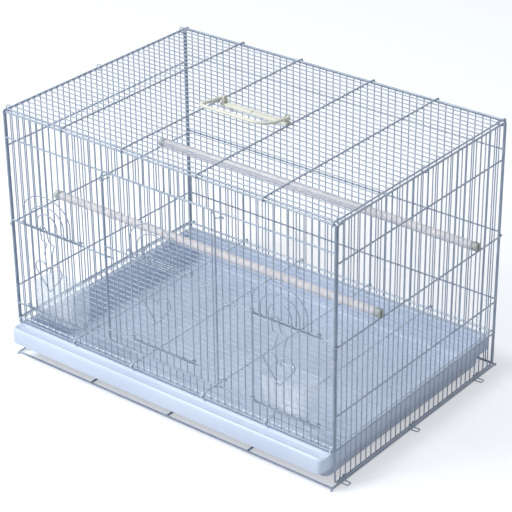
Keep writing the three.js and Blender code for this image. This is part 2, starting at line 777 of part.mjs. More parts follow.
// A flat bail with round corners, hung by pins in the lugs and folded forwards.
function handleBail() {
  const inner = handleSpan / 2 + handleLug.thickness / 2 + gap;
  const outer = inner + bailWidth;
  const t = bailThickness / 2;
  const holeFront = bailBarWidth - bailReach;
  const flat = slab(-outer, outer, -bailReach, bailReach, -t, t, bailCorner);
  const hole = slab(-inner, inner, holeFront, 2 * bailReach, -t - 1, t + 1, bailCorner - bailWidth);
  const behind = box(-outer - 1, outer + 1, 0, 2 * bailReach, -t - 1, t + 1);
  let made = solid(flat).subtract(solid(hole)).subtract(solid(behind));
  for (const hand of [-1, 1]) {
    const x0 = Math.min(hand * inner, hand * outer);
    const x1 = Math.max(hand * inner, hand * outer);
    made = made.add(solid(drum(handleLug.r * 0.8, x0, x1)));
    const pinEnd = hand * (inner - gap - handleLug.thickness);
    const root = hand * (inner + 1);
    made = made.add(solid(drum(pivotR, Math.min(pinEnd, root), Math.max(pinEnd, root))));
  }
  const bail = piece('handle_bail', geometryOf(made), handlePlastic());
  bail.position.set(handleX, handleY, pivotZ);
  bail.rotation.x = -bailTilt;
  return bail;
}

// ---------------------------------------------------------------- assembly

const cage = new THREE.Group();
const wirework = new THREE.Group();
wirework.add(frontPanel(), backPanel(), topPanel(), floorGrate(), baseFrame(), ...loops());
wirework.add(sidePanel('left_side_panel', -1), sidePanel('right_side_panel', 1));
const doors = new THREE.Group();
doors.add(mainDoor());
doors.add(archedDoor('left_door', leftDoorWires, frontY, sillZ + doorSillRise));
doors.add(archedDoor('right_door', rightDoorWires, frontY, sillZ + doorSillRise));
doors.add(archedDoor('middle_door', middleDoorWires, mainDoorY, middleSillZ + doorSillRise));
const fittings = new THREE.Group();
fittings.add(tray(), ...perches(), handleBase(), handleBail());
fittings.add(seedCup('left_cup', leftDoorWires), seedCup('right_cup', rightDoorWires));
cage.add(wirework, doors, fittings);

// The frame's zero is the middle of the whole footprint, tray lip and base loops included.
const footprint = new THREE.Box3().setFromObject(cage).getCenter(v(0, 0, 0));
for (const group of cage.children) group.position.set(-footprint.x, -footprint.y, 0);

export default cage;
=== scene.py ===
"""Canary breeding cage: the looks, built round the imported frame.

Lengths are millimetres in the frame's own axes, +X right, +Y back and +Z up, until a
piece is finished: then its mesh is scaled to metres.
"""

import json
import logging
import math
from dataclasses import dataclass, field
from enum import Enum
from typing import Iterable, Sequence

import bmesh
import bpy
from mathutils import Matrix, Vector

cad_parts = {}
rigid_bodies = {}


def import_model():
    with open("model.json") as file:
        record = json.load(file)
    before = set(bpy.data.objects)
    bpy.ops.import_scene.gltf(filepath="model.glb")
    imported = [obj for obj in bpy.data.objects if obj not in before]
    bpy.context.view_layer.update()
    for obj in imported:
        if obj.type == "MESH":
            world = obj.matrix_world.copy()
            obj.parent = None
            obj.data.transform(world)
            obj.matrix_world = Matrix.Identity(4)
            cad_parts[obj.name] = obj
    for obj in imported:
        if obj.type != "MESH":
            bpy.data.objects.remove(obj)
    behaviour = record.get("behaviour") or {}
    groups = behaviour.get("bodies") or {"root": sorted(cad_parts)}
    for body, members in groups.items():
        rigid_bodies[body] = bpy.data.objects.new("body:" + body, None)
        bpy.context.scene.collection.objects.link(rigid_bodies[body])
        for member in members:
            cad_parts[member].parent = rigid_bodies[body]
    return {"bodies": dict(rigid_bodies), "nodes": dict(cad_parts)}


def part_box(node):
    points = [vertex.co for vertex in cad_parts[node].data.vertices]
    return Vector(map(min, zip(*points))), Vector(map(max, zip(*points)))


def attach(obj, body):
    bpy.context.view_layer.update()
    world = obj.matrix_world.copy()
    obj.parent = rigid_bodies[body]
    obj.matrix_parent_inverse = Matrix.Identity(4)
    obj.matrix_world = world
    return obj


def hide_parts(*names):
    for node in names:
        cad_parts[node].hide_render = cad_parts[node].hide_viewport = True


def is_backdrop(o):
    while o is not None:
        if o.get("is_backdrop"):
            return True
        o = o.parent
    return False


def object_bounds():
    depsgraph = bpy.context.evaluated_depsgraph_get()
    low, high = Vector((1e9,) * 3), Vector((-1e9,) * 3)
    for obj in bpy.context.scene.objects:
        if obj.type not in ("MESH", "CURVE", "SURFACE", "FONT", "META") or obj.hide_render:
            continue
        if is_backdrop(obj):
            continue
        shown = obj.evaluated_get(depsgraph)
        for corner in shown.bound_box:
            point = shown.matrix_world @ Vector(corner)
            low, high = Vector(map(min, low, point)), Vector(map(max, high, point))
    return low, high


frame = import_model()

LOG = logging.getLogger("cage")
MM = 0.001


class Slot(Enum):
    """Material slots of the record."""

    WIRE = "coated_wire"
    TRAY = "tray"
    HANDLE = "handle"
    PERCH = "perch"
    CAP = "perch_cap"
    CUP = "clear_cup"


class Body(Enum):
    """Bodies that the pieces ride on."""

    CAGE = "cage"
    TRAY = "tray"
    MAIN_DOOR = "main_door"
    MIDDLE_DOOR = "middle_door"
    LEFT_DOOR = "left_door"
    RIGHT_DOOR = "right_door"
    LEFT_CUP = "left_cup"
    RIGHT_CUP = "right_cup"
    BAIL = "handle_bail"


class Hand(Enum):
    """Left or right of the cage, as the sign of X."""

    LEFT = -1
    RIGHT = 1


class Side(Enum):
    """Before or behind, as the sign of Y."""

    FRONT = -1
    BACK = 1


AXIS_X = Vector((1, 0, 0))
AXIS_Y = Vector((0, 1, 0))
AXIS_Z = Vector((0, 0, 1))
Colour = tuple[float, float, float]
WHITE = (1.0, 1.0, 1.0, 1.0)


# ---------------------------------------------------------------- shader expressions


class Graph:
    """The node tree of a material or a world, built by expressions on its sockets."""

    def __init__(self, owner: bpy.types.Material | bpy.types.World) -> None:
        """Empties the owner's tree.

        Args:
            owner: a new material or world.
        """
        owner.use_nodes = True
        self.owner = owner
        self.tree = owner.node_tree
        self.tree.nodes.clear()

    def add(
        self, kind: str, settings: dict | None = None, inputs: dict | None = None
    ) -> bpy.types.Node:
        """Adds one node.

        Args:
            kind: the node's type name.
            settings: the node's own properties, set first.
            inputs: socket names or numbers, with a value or a link for each.

        Returns:
            The node.
        """
        node = self.tree.nodes.new(kind)
        for key, value in (settings or {}).items():
            setattr(node, key, value)
        for key, value in (inputs or {}).items():
            self.feed(node.inputs[key], value)
        return node

    def feed(self, socket: bpy.types.NodeSocket, value: object) -> None:
        """Gives a socket a plain value, or links another socket to it.

        Args:
            socket: the socket that takes it.
            value: a plain value, a socket or an expression.
        """
        if isinstance(value, Value):
            self.tree.links.new(value.socket, socket)
        elif isinstance(value, bpy.types.NodeSocket):
            self.tree.links.new(value, socket)
        else:
            socket.default_value = value

    def place(self) -> bpy.types.NodeSocket:
        """The Object coordinates of the shaded point, in metres."""
        return self.add("ShaderNodeTexCoord").outputs["Object"]

    def noise(
        self, size: float, detail: float, stretch: tuple[float, float, float] = (1, 1, 1)
    ) -> "Value":
        """Soft noise whose patches are about a given size.

        Args:
            size: the patches' size in millimetres.
            detail: how many finer layers lie on them.
            stretch: scale of the pattern along each axis.

        Returns:
            A number from 0 to 1.
        """
        mapped = self.add("ShaderNodeMapping", {}, {"Vector": self.place(), "Scale": stretch})
        inputs = {"Vector": mapped.outputs[0], "Scale": 1 / (size * MM), "Detail": detail}
        return Value(self, self.add("ShaderNodeTexNoise", {}, inputs).outputs["Fac"])

    def blend(self, low: Sequence[float], high: Sequence[float], mask: "Value") -> bpy.types.NodeSocket:
        """A colour between two others.

        Args:
            low: colour where the mask is 0.
            high: colour where the mask is 1.
            mask: the share of the second colour.

        Returns:
            The colour's socket.
        """
        # a Mix node has its two colours on sockets 6 and 7 and the mixed one on output 2
        inputs = {0: mask, 6: (*low, 1.0), 7: (*high, 1.0)}
        return self.add("ShaderNodeMix", {"data_type": "RGBA"}, inputs).outputs[2]

    def bump(self, height: "Value", distance: float) -> bpy.types.NodeSocket:
        """A normal tilted by a height.

        Args:
            height: the height, 0 to 1.
            distance: the full height in millimetres.

        Returns:
            The normal's socket.
        """
        inputs = {"Height": height, "Distance": distance * MM, "Strength": 1.0}
        return self.add("ShaderNodeBump", {}, inputs).outputs["Normal"]

    def shader(self, kind: str, inputs: dict) -> bpy.types.NodeSocket:
        """Adds a shader of a given type and returns its socket."""
        return self.add(kind, {}, inputs).outputs[0]

    def mixed(
        self, share: "Value", first: bpy.types.NodeSocket, second: bpy.types.NodeSocket
    ) -> bpy.types.NodeSocket:
        """Two shaders mixed, the second by its share."""
        return self.shader("ShaderNodeMixShader", {0: share, 1: first, 2: second})

    def ended(self, shader: bpy.types.NodeSocket) -> bpy.types.Material | bpy.types.World:
        """Ends the tree with a shader.

        Args:
            shader: the shader's socket.

        Returns:
            The material or world that owns the tree.
        """
        kind = "World" if isinstance(self.owner, bpy.types.World) else "Material"
        self.add(f"ShaderNodeOutput{kind}", {}, {"Surface": shader})
        return self.owner


class Value:
    """A number on a socket. Arithmetic on it adds Math nodes."""

    def __init__(self, graph: Graph, socket: bpy.types.NodeSocket) -> None:
        """Wraps a socket of a graph."""
        self.graph = graph
        self.socket = socket

    def _math(self, operation: str, first: object, second: object) -> "Value":
        """Adds one Math node.

        Args:
            operation: the node's operation.
            first: its first number or socket.
            second: its second number or socket.

        Returns:
            The result.
        """
        node = self.graph.add("ShaderNodeMath", {"operation": operation}, {0: first, 1: second})
        return Value(self.graph, node.outputs[0])

    def __add__(self, other: object) -> "Value":
        """Sum."""
        return self._math("ADD", self, other)

    __radd__ = __add__

    def __sub__(self, other: object) -> "Value":
        """Difference."""
        return self._math("SUBTRACT", self, other)

    def __rsub__(self, other: object) -> "Value":
        """Difference, the other way round."""
        return self._math("SUBTRACT", other, self)

    def __mul__(self, other: object) -> "Value":
        """Product."""
        return self._math("MULTIPLY", self, other)

    __rmul__ = __mul__

    def __pow__(self, other: object) -> "Value":
        """Power."""
        return self._math("POWER", self, other)

    def at_least(self, other: object) -> "Value":
        """The greater of two numbers."""
        return self._math("MAXIMUM", self, other)

    def between(self, low: float, high: float) -> "Value":
        """0 below one limit, 1 above the other, and smooth in between.

        Args:
            low: where it leaves 0.
            high: where it reaches 1.

        Returns:
            The eased number.
        """
        settings = {"interpolation_type": "SMOOTHSTEP"}
        inputs = {"Value": self, "From Min": low, "From Max": high}
        return Value(self.graph, self.graph.add("ShaderNodeMapRange", settings, inputs).outputs[0])


# ---------------------------------------------------------------- finishes

# limits between which noise is eased into patches: about half of a surface, and a small part
PATCHES = (0.3, 0.7)
SPARSE_PATCHES = (0.58, 0.7)


@dataclass(frozen=True)
class CoatedWire:
    """Steel wire with a thin, pale, slightly uneven coating."""

    name: str = "coated_wire"
    low: Colour = (0.28, 0.35, 0.45)
    high: Colour = (0.38, 0.45, 0.55)
    roughness: float = 0.30
    unevenness: float = 0.14
    coat: float = 0.35
    coat_roughness: float = 0.12
    runs: float = 18.0
    skin: float = 0.9
    skin_depth: float = 0.05

    def material(self) -> bpy.types.Material:
        """Builds the finish. Its runs and its skin are noise of the sizes that it names.

        Returns:
            The material.
        """
        graph = Graph(bpy.data.materials.new(self.name))
        runs = graph.noise(self.runs, detail=3)
        skin = graph.noise(self.skin, detail=2)
        return graph.ended(graph.shader("ShaderNodeBsdfPrincipled", {
            "Base Color": graph.blend(self.low, self.high, runs.between(*PATCHES)),
            "Roughness": self.roughness + self.unevenness * runs,
            "Metallic": 0.0,
            "Coat Weight": self.coat,
            "Coat Roughness": self.coat_roughness,
            "Normal": graph.bump(skin, self.skin_depth),
        }))


@dataclass(frozen=True)
class MouldedPlastic:
    """Moulded plastic with flow marks, a fine skin and rubbed patches."""

    name: str
    low: Colour
    high: Colour
    roughness: float
    flow: float
    skin: float = 1.2
    skin_depth: float = 0.03
    scuffs: float = 0.0
    scuff: float = 7.0
    flow_roughness: float = 0.1
    scuff_roughness: float = 0.25

    def material(self) -> bpy.types.Material:
        """Builds the finish. Its flow marks, skin and scuffs are noise of the sizes that it names.

        Returns:
            The material.
        """
        graph = Graph(bpy.data.materials.new(self.name))
        flow = graph.noise(self.flow, detail=3)
        skin = graph.noise(self.skin, detail=3)
        rubbed = graph.noise(self.scuff, detail=6, stretch=(1, 4, 1))
        scuff = rubbed.between(*SPARSE_PATCHES) * self.scuffs
        roughness = self.roughness + self.flow_roughness * flow + self.scuff_roughness * scuff
        return graph.ended(graph.shader("ShaderNodeBsdfPrincipled", {
            "Base Color": graph.blend(self.low, self.high, flow.between(*PATCHES)),
            "Roughness": roughness,
            "Specular IOR Level": 0.5,
            "Normal": graph.bump(skin, self.skin_depth),
        }))


@dataclass(frozen=True)
class ClearPlastic:
    """Thin clear plastic: a milky film that thickens towards its edges, and glints on it."""

    tint: Colour = (0.88, 0.92, 0.97)
    passing: Colour = (0.98, 0.99, 1.0)
    roughness: float = 0.06
    unevenness: float = 0.05
    body: float = 0.13
    edge_body: float = 0.45
    edge_power: float = 2.6
    glint: float = 0.07
    edge_glint: float = 0.8
    glint_power: float = 3.0
    glint_roughness: float = 0.04
    facing_blend: float = 0.3
    ripple: float = 22.0
    ripple_depth: float = 0.4

    def material(self) -> bpy.types.Material:
        """Builds the finish.

        Returns:
            The material.
        """
        graph = Graph(bpy.data.materials.new("clear_cup"))
        ripple = graph.noise(self.ripple, detail=2)
        normal = graph.bump(ripple, self.ripple_depth)
        milk = graph.shader("ShaderNodeBsdfPrincipled", {
            "Base Color": (*self.tint, 1.0),
            "Roughness": self.roughness + self.unevenness * ripple,
            "Normal": normal,
        })
        clear = graph.shader("ShaderNodeBsdfTransparent", {"Color": (*self.passing, 1.0)})
        weight = graph.add("ShaderNodeLayerWeight", {}, {"Blend": self.facing_blend})
        facing = Value(graph, weight.outputs["Facing"])
        film = graph.mixed(self.body + self.edge_body * facing ** self.edge_power, clear, milk)
        glint = graph.shader("ShaderNodeBsdfGlossy", {
            "Color": WHITE, "Roughness": self.glint_roughness, "Normal": normal,
        })
        bare = self.glint + self.edge_glint * facing ** self.glint_power
        return graph.ended(graph.mixed(bare, film, glint))


# ---------------------------------------------------------------- paths


NEARLY_STRAIGHT = math.pi - 0.01


def fillet(
    corners: Sequence[Vector], radius: float, closed: bool = False, steps: int = 5
) -> list[Vector]:
    """Rounds the corners of a bent wire with arcs.

    Args:
        corners: the wire's corner points.
        radius: bending radius of its centre line.
        closed: whether the wire closes on itself.
        steps: steps round each corner.

    Returns:
        The points of the wire's centre line.
    """
    points = []
    last = len(corners) - 1
    for index, corner in enumerate(corners):
        if not closed and index in (0, last):
            points.append(corner.copy())
            continue
        back = (corners[index - 1] - corner).normalized()
        ahead = (corners[(index + 1) % (last + 1)] - corner).normalized()
        opening = back.angle(ahead)
        if opening > NEARLY_STRAIGHT:
            points.append(corner.copy())
            continue
        reach = radius / math.tan(opening / 2)
        centre = corner + (back + ahead).normalized() * (radius / math.sin(opening / 2))
        start = corner + back * reach - centre
        end = corner + ahead * reach - centre
        for step in range(steps + 1):
            points.append(centre + start.slerp(end, step / steps).normalized() * radius)
    return points


def arc(
    centre: Vector, right: Vector, up: Vector, start: float, sweep: float, steps: int
) -> list[Vector]:
    """Points on an arc.

    Args:
        centre: the arc's centre.
        right: half axis at 0 degrees.
        up: half axis at 90 degrees.
        start: first angle in degrees.
        sweep: angle covered in degrees.
        steps: steps along it.

    Returns:
        steps + 1 points.
    """
    turns = (math.radians(start + sweep * step / steps) for step in range(steps + 1))
    return [centre + right * math.cos(turn) + up * math.sin(turn) for turn in turns]


def tangents(points: Sequence[Vector], closed: bool) -> list[Vector]:
    """Directions of a centre line at its points, each halfway between its two stretches.

    Args:
        points: the centre line.
        closed: whether it closes on itself.

    Returns:
        One direction for each point.
    """
    found = []
    last = len(points) - 1
    for index, here in enumerate(points):
        before = points[index - 1] if index or closed else None
        after = points[(index + 1) % (last + 1)] if index < last or closed else None
        incoming = (here - before).normalized() if before is not None else Vector()
        outgoing = (after - here).normalized() if after is not None else Vector()
        found.append((incoming + outgoing).normalized())
    return found


def rounded_outline(
    low: Vector, high: Vector, front_radius: float, back_radius: float, steps: int = 6
) -> list[Vector]:
    """A rectangle with round corners in the XY plane, from its front left corner round by the right.

    Args:
        low: its corner of least X and Y, whose Z all points take.
        high: its corner of greatest X and Y.
        front_radius: radius of the two front corners.
        back_radius: radius of the two back corners.
        steps: steps round each corner.

    Returns:
        The outline's points, as many for any sizes.
    """
    corners = (
        (low.x, low.y, front_radius, 180, 1, 1),
        (high.x, low.y, front_radius, 270, -1, 1),
        (high.x, high.y, back_radius, 0, -1, -1),
        (low.x, high.y, back_radius, 90, 1, -1),
    )
    points = []
    for x, y, radius, start, inward_x, inward_y in corners:
        centre = Vector((x + inward_x * radius, y + inward_y * radius, low.z))
        points += arc(centre, AXIS_X * radius, AXIS_Y * radius, start, 90, steps)
    return points


def level(outline: Sequence[Vector], z: float) -> list[Vector]:
    """An outline at a given height."""
    return [Vector((point.x, point.y, z)) for point in outline]


# ---------------------------------------------------------------- meshes of one piece

RIM_SHARE = 0.35  # of a wire's radius is rounded off round its cut ends
MERGE = 1e-3  # millimetres within which points become one
ROUND_STEPS = 28  # round a turned shape or a ring
WALL_EDGE = 0.5  # millimetres of rounding on the edges of thin walls
WALL_ANGLE = math.radians(50)  # walls that bend by more are rounded there


class Form:
    """The mesh of one piece, gathered from parts that are each shaped by bmesh operators."""

    def __init__(self, sides: int = 10) -> None:
        """Starts an empty form.

        Args:
            sides: facets round a wire.
        """
        self.gathered = bmesh.new()
        self.sides = sides

    def gather(self, part: bmesh.types.BMesh) -> None:
        """Adds a part to the form.

        Args:
            part: the part, which is freed.
        """
        bmesh.ops.recalc_face_normals(part, faces=part.faces)
        mesh = bpy.data.meshes.new("part")
        part.to_mesh(mesh)
        part.free()
        self.gathered.from_mesh(mesh)
        bpy.data.meshes.remove(mesh)

    @staticmethod
    def upright(place: Vector, along: Vector) -> Matrix:
        """A matrix that moves the origin to a place and turns +Z to a direction."""
        return Matrix.Translation(place) @ along.to_track_quat("Z", "Y").to_matrix().to_4x4()

    @staticmethod
    def soften(
        part: bmesh.types.BMesh, edges: Iterable, offset: float, segments: int = 1
    ) -> None:
        """Rounds some edges of a part.

        Args:
            part: the part.
            edges: its edges to round.
            offset: how far the rounding reaches from them.
            segments: steps across it.
        """
        bmesh.ops.bevel(
            part, geom=list(edges), offset=offset, segments=segments, profile=0.5,
            affect="EDGES", material=-1,
        )

    def straight(self, start: Vector, end: Vector, radius: float) -> None:
        """Adds a straight wire with slightly rounded ends.

        Args:
            start: where its centre line starts.
            end: where it ends.
            radius: the wire's radius.
        """
        part = bmesh.new()
        bmesh.ops.create_cone(
            part, cap_ends=True, cap_tris=False, segments=self.sides, radius1=radius,
            radius2=radius, depth=(end - start).length,
            matrix=self.upright((start + end) / 2, end - start),
        )
        self.soften(part, self.rims(part), radius * RIM_SHARE)
        self.gather(part)

    def across(self, half: float, y: float, z: float, radius: float) -> None:
        """Adds a straight wire across the cage, as long on both sides of its middle."""
        self.straight(Vector((-half, y, z)), Vector((half, y, z)), radius)

    def standing(self, x: float, y: float, spans: Iterable[tuple[float, float]], radius: float) -> None:
        """Adds an upright wire, in one stretch or more.

        Args:
            x: its X.
            y: its Y.
            spans: where each stretch starts and ends in Z.
            radius: the wire's radius.
        """
        for bottom, top in spans:
            self.straight(Vector((x, y, bottom)), Vector((x, y, top)), radius)

    @staticmethod
    def rims(part: bmesh.types.BMesh) -> list:
        """The edges round a part's end faces."""
        ends = [face for face in part.faces if len(face.verts) > 4]
        return list(dict.fromkeys(edge for face in ends for edge in face.edges))

    def bent(self, points: Sequence[Vector], radius: float, closed: bool = False) -> None:
        """Adds a wire bent along a centre line.

        Args:
            points: the centre line.
            radius: the wire's radius.
            closed: whether the wire closes on itself.
        """
        part = bmesh.new()
        ways = tangents(points, closed)
        bmesh.ops.create_circle(
            part, cap_ends=False, segments=self.sides, radius=radius,
            matrix=self.upright(points[0], ways[0]),
        )
        first = edges = list(part.edges)
        for before, here, way, turned in zip(points, points[1:], ways, ways[1:]):
            verts, edges = self.grow(part, edges)
            bmesh.ops.translate(part, verts=verts, vec=here - before)
            turn = way.rotation_difference(turned).to_matrix()
            bmesh.ops.rotate(part, verts=verts, cent=here, matrix=turn)
        if closed:
            bmesh.ops.bridge_loops(part, edges=edges + first)
        else:
            for rim in (first, edges):
                bmesh.ops.contextual_create(part, geom=rim)
            self.soften(part, self.rims(part), radius * RIM_SHARE)
        self.gather(part)

    @staticmethod
    def grow(part: bmesh.types.BMesh, edges: Sequence) -> tuple[list, list]:
        """Extrudes a ring of edges where it stands.

        Args:
            part: the mesh.
            edges: the ring.

        Returns:
            The new ring's vertices and edges.
        """
        grown = bmesh.ops.extrude_edge_only(part, edges=list(edges))["geom"]
        verts = [item for item in grown if isinstance(item, bmesh.types.BMVert)]
        edges = [item for item in grown if isinstance(item, bmesh.types.BMEdge)]
        return verts, [edge for edge in edges if set(edge.verts) <= set(verts)]

    def ring(
        self, centre: Vector, axis: Vector, mean_radius: float, radius: float,
        steps: int = ROUND_STEPS,
    ) -> None:
        """Adds a closed ring of wire.

        Args:
            centre: the ring's centre.
            axis: the axis that it runs round.
            mean_radius: from the axis to the wire's centre line.
            radius: the wire's radius.
            steps: steps round it.
        """
        part = bmesh.new()
        across = axis.orthogonal().normalized()
        section = bmesh.ops.create_circle(
            part, cap_ends=False, segments=self.sides, radius=radius,
            matrix=self.upright(centre + across * mean_radius, axis.cross(across)),
        )
        bmesh.ops.spin(
            part, geom=section["verts"] + list(part.edges), cent=centre, axis=axis,
            angle=math.tau, steps=steps, use_merge=True, use_duplicate=False,
        )
        bmesh.ops.remove_doubles(part, verts=part.verts, dist=MERGE)
        self.gather(part)

    def weld(self, place: Vector, radius: float) -> None:
        """Adds the small bead where two wires are welded.

        Args:
            place: the bead's middle.
            radius: its radius.
        """
        part = bmesh.new()
        spot = Matrix.Translation(place)
        bmesh.ops.create_icosphere(part, subdivisions=1, radius=radius, matrix=spot)
        self.gather(part)

    def block(
        self, low: Vector, high: Vector, soft: float = WALL_EDGE, segments: int = 2
    ) -> None:
        """Adds a block with rounded edges.

        Args:
            low: its least corner.
            high: its greatest corner.
            soft: the edges' radius.
            segments: steps round them.
        """
        part = bmesh.new()
        stretch = Matrix.Diagonal((*(high - low), 1))
        place = Matrix.Translation((low + high) / 2)
        bmesh.ops.create_cube(part, size=1, matrix=place @ stretch)
        self.soften(part, part.edges, soft, segments)
        self.gather(part)

    def turned(
        self, profile: Sequence[tuple[float, float]], foot: Vector, axis: Vector
    ) -> None:
        """Adds a turned shape.

        Args:
            profile: pairs of distance along the axis and radius, both ends on the axis.
            foot: where the axis starts.
            axis: its direction.
        """
        part = bmesh.new()
        across = axis.orthogonal().normalized()
        verts = [part.verts.new(foot + axis * along + across * radius) for along, radius in profile]
        edges = [part.edges.new(pair) for pair in zip(verts, verts[1:])]
        bmesh.ops.spin(
            part, geom=verts + edges, cent=foot, axis=axis, angle=math.tau, steps=ROUND_STEPS,
            use_merge=True, use_duplicate=False,
        )
        bmesh.ops.remove_doubles(part, verts=part.verts, dist=MERGE)
        self.gather(part)

    def pan(self, rings: Sequence[Sequence[Vector]]) -> None:
        """Adds a pan's skin: a flat floor whose border is extruded from ring to ring.

        Args:
            rings: outlines of as many points each, with the floor's first.
        """
        part = bmesh.new()
        border = [part.verts.new(place) for place in rings[0]]
        part.faces.new(border)
        edges = list(part.edges)
        for ring in rings[1:]:
            _, edges = self.grow(part, edges)
            # a new point still lies on the one that it grew from
            grown = {vert.co.to_tuple(5): vert for edge in edges for vert in edge.verts}
            border = [grown[vert.co.to_tuple(5)] for vert in border]
            for vert, place in zip(border, ring):
                vert.co = place
        self.gather(part)

    def finish(
        self, name: str, body: Body, slot: Slot, material: bpy.types.Material,
        nodes: Sequence[str], sharp: float = 40.0,
    ) -> bpy.types.Object:
        """Makes the form an object of the scene that stands for its nodes.

        Args:
            name: the object's name.
            body: the body that it rides on.
            slot: the record's slot of its finish; not used.
            material: its material.
            nodes: the CAD nodes that it replaces.
            sharp: edges that bend by more degrees stay crisp.

        Returns:
            The object.
        """
        bmesh.ops.scale(self.gathered, vec=(MM, MM, MM), verts=self.gathered.verts)
        mesh = bpy.data.meshes.new(name)
        self.gathered.to_mesh(mesh)
        self.gathered.free()
        mesh.shade_smooth()
        mesh.set_sharp_from_angle(angle=math.radians(sharp))
        mesh.materials.append(material)
        piece = bpy.data.objects.new(name, mesh)
        bpy.context.scene.collection.objects.link(piece)
        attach(piece, body.value)
        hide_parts(*nodes)
        LOG.info("%s: %d faces", name, len(mesh.polygons))
        return piece


def thicken(piece: bpy.types.Object, wall: float) -> None:
    """Gives a skin its wall, inwards, and softens the wall's edges.

    Args:
        piece: the skin's object.
        wall: the wall's thickness in millimetres.
    """
    solidify = piece.modifiers.new("wall", "SOLIDIFY")
    solidify.thickness = wall * MM
    solidify.offset = -1
    solidify.use_even_offset = True
    bevel = piece.modifiers.new("edge", "BEVEL")
    bevel.width = WALL_EDGE * MM
    bevel.segments = 2
    bevel.limit_method = "ANGLE"
    bevel.angle_limit = WALL_ANGLE
    bevel.use_clamp_overlap = True


# ---------------------------------------------------------------- layout


@dataclass(frozen=True)
class Gauges:
    """Radii of the wires, and the clearances that the frame was built with."""

    wire: float = 0.9
    rod: float = 1.3
    border: float = 1.6
    loop: float = 0.8
    rail: float = 1.1
    door_frame: float = 1.5
    gap: float = 0.3

    @property
    def spaced(self) -> float:
        """Centre distance of a cross rod that passes beside the wires."""
        return self.wire + self.rod + self.gap


def frame_box(node: str) -> tuple[Vector, Vector]:
    """A node's corners in millimetres."""
    low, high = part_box(node)
    return low / MM, high / MM


@dataclass(frozen=True)
class Layout:
    """Planes and spacings of the cage, read from the frame."""

    front_y: float
    back_y: float
    side_x: float
    front_post_x: float
    side_front_y: float
    side_back_y: float
    bottom_z: float
    back_bottom_z: float
    top_z: float
    front_intervals: int = 47
    side_intervals: int = 33
    sill_z: float = 92.0
    middle_rod_z: float = 237.5
    upper_rod_z: float = 376.0
    cross_wires: tuple[int, ...] = (29, 38)
    side_inset: float = 4.0

    @classmethod
    def read(cls, gauges: Gauges) -> "Layout":
        """Reads the layout from the frame's boxes.

        Args:
            gauges: the wires' radii.

        Returns:
            The layout.
        """
        front_low, front_high = frame_box("front_panel")
        back_low, _ = frame_box("back_panel")
        _, side_high = frame_box("right_side_panel")
        front_y = (front_low.y + front_high.y) / 2
        back_y = back_low.y + gauges.border
        return cls(
            front_y=front_y,
            back_y=back_y,
            side_x=side_high.x - gauges.rod - gauges.spaced,
            front_post_x=front_high.x - gauges.border,
            side_front_y=front_y + cls.side_inset,
            side_back_y=back_y - cls.side_inset,
            bottom_z=front_low.z + gauges.border,
            back_bottom_z=back_low.z + gauges.border,
            top_z=front_high.z - gauges.border,
        )

    def front_x(self, wire: float) -> float:
        """X of a wire of the front or back panel, counted from the left post."""
        return self.front_post_x * (2 * wire / self.front_intervals - 1)

    def on_front(self, wire: float, z: float) -> Vector:
        """A point of a wire of the front panel."""
        return Vector((self.front_x(wire), self.front_y, z))

    def side_y(self, wire: float) -> float:
        """Y of a wire of the side, top or floor panel, counted from the front."""
        depth = self.side_back_y - self.side_front_y
        return self.side_front_y + wire * depth / self.side_intervals

    def cross_x(self, gauges: Gauges) -> list[float]:
        """X of the cross rods right of the middle, each beside a wire."""
        return [self.front_x(wire) - gauges.spaced for wire in self.cross_wires]


@dataclass(frozen=True)
class Span:
    """Two wires of the front panel with an opening between them, counted from its left post."""

    first: int
    last: int

    def holds(self, wire: int) -> bool:
        """Whether a wire lies inside the opening."""
        return self.first < wire < self.last


MAIN_OPENING = Span(16, 32)
LEFT_OPENING = Span(2, 11)
RIGHT_OPENING = Span(36, 45)
MIDDLE_OPENING = Span(19, 28)


# ---------------------------------------------------------------- wire panels


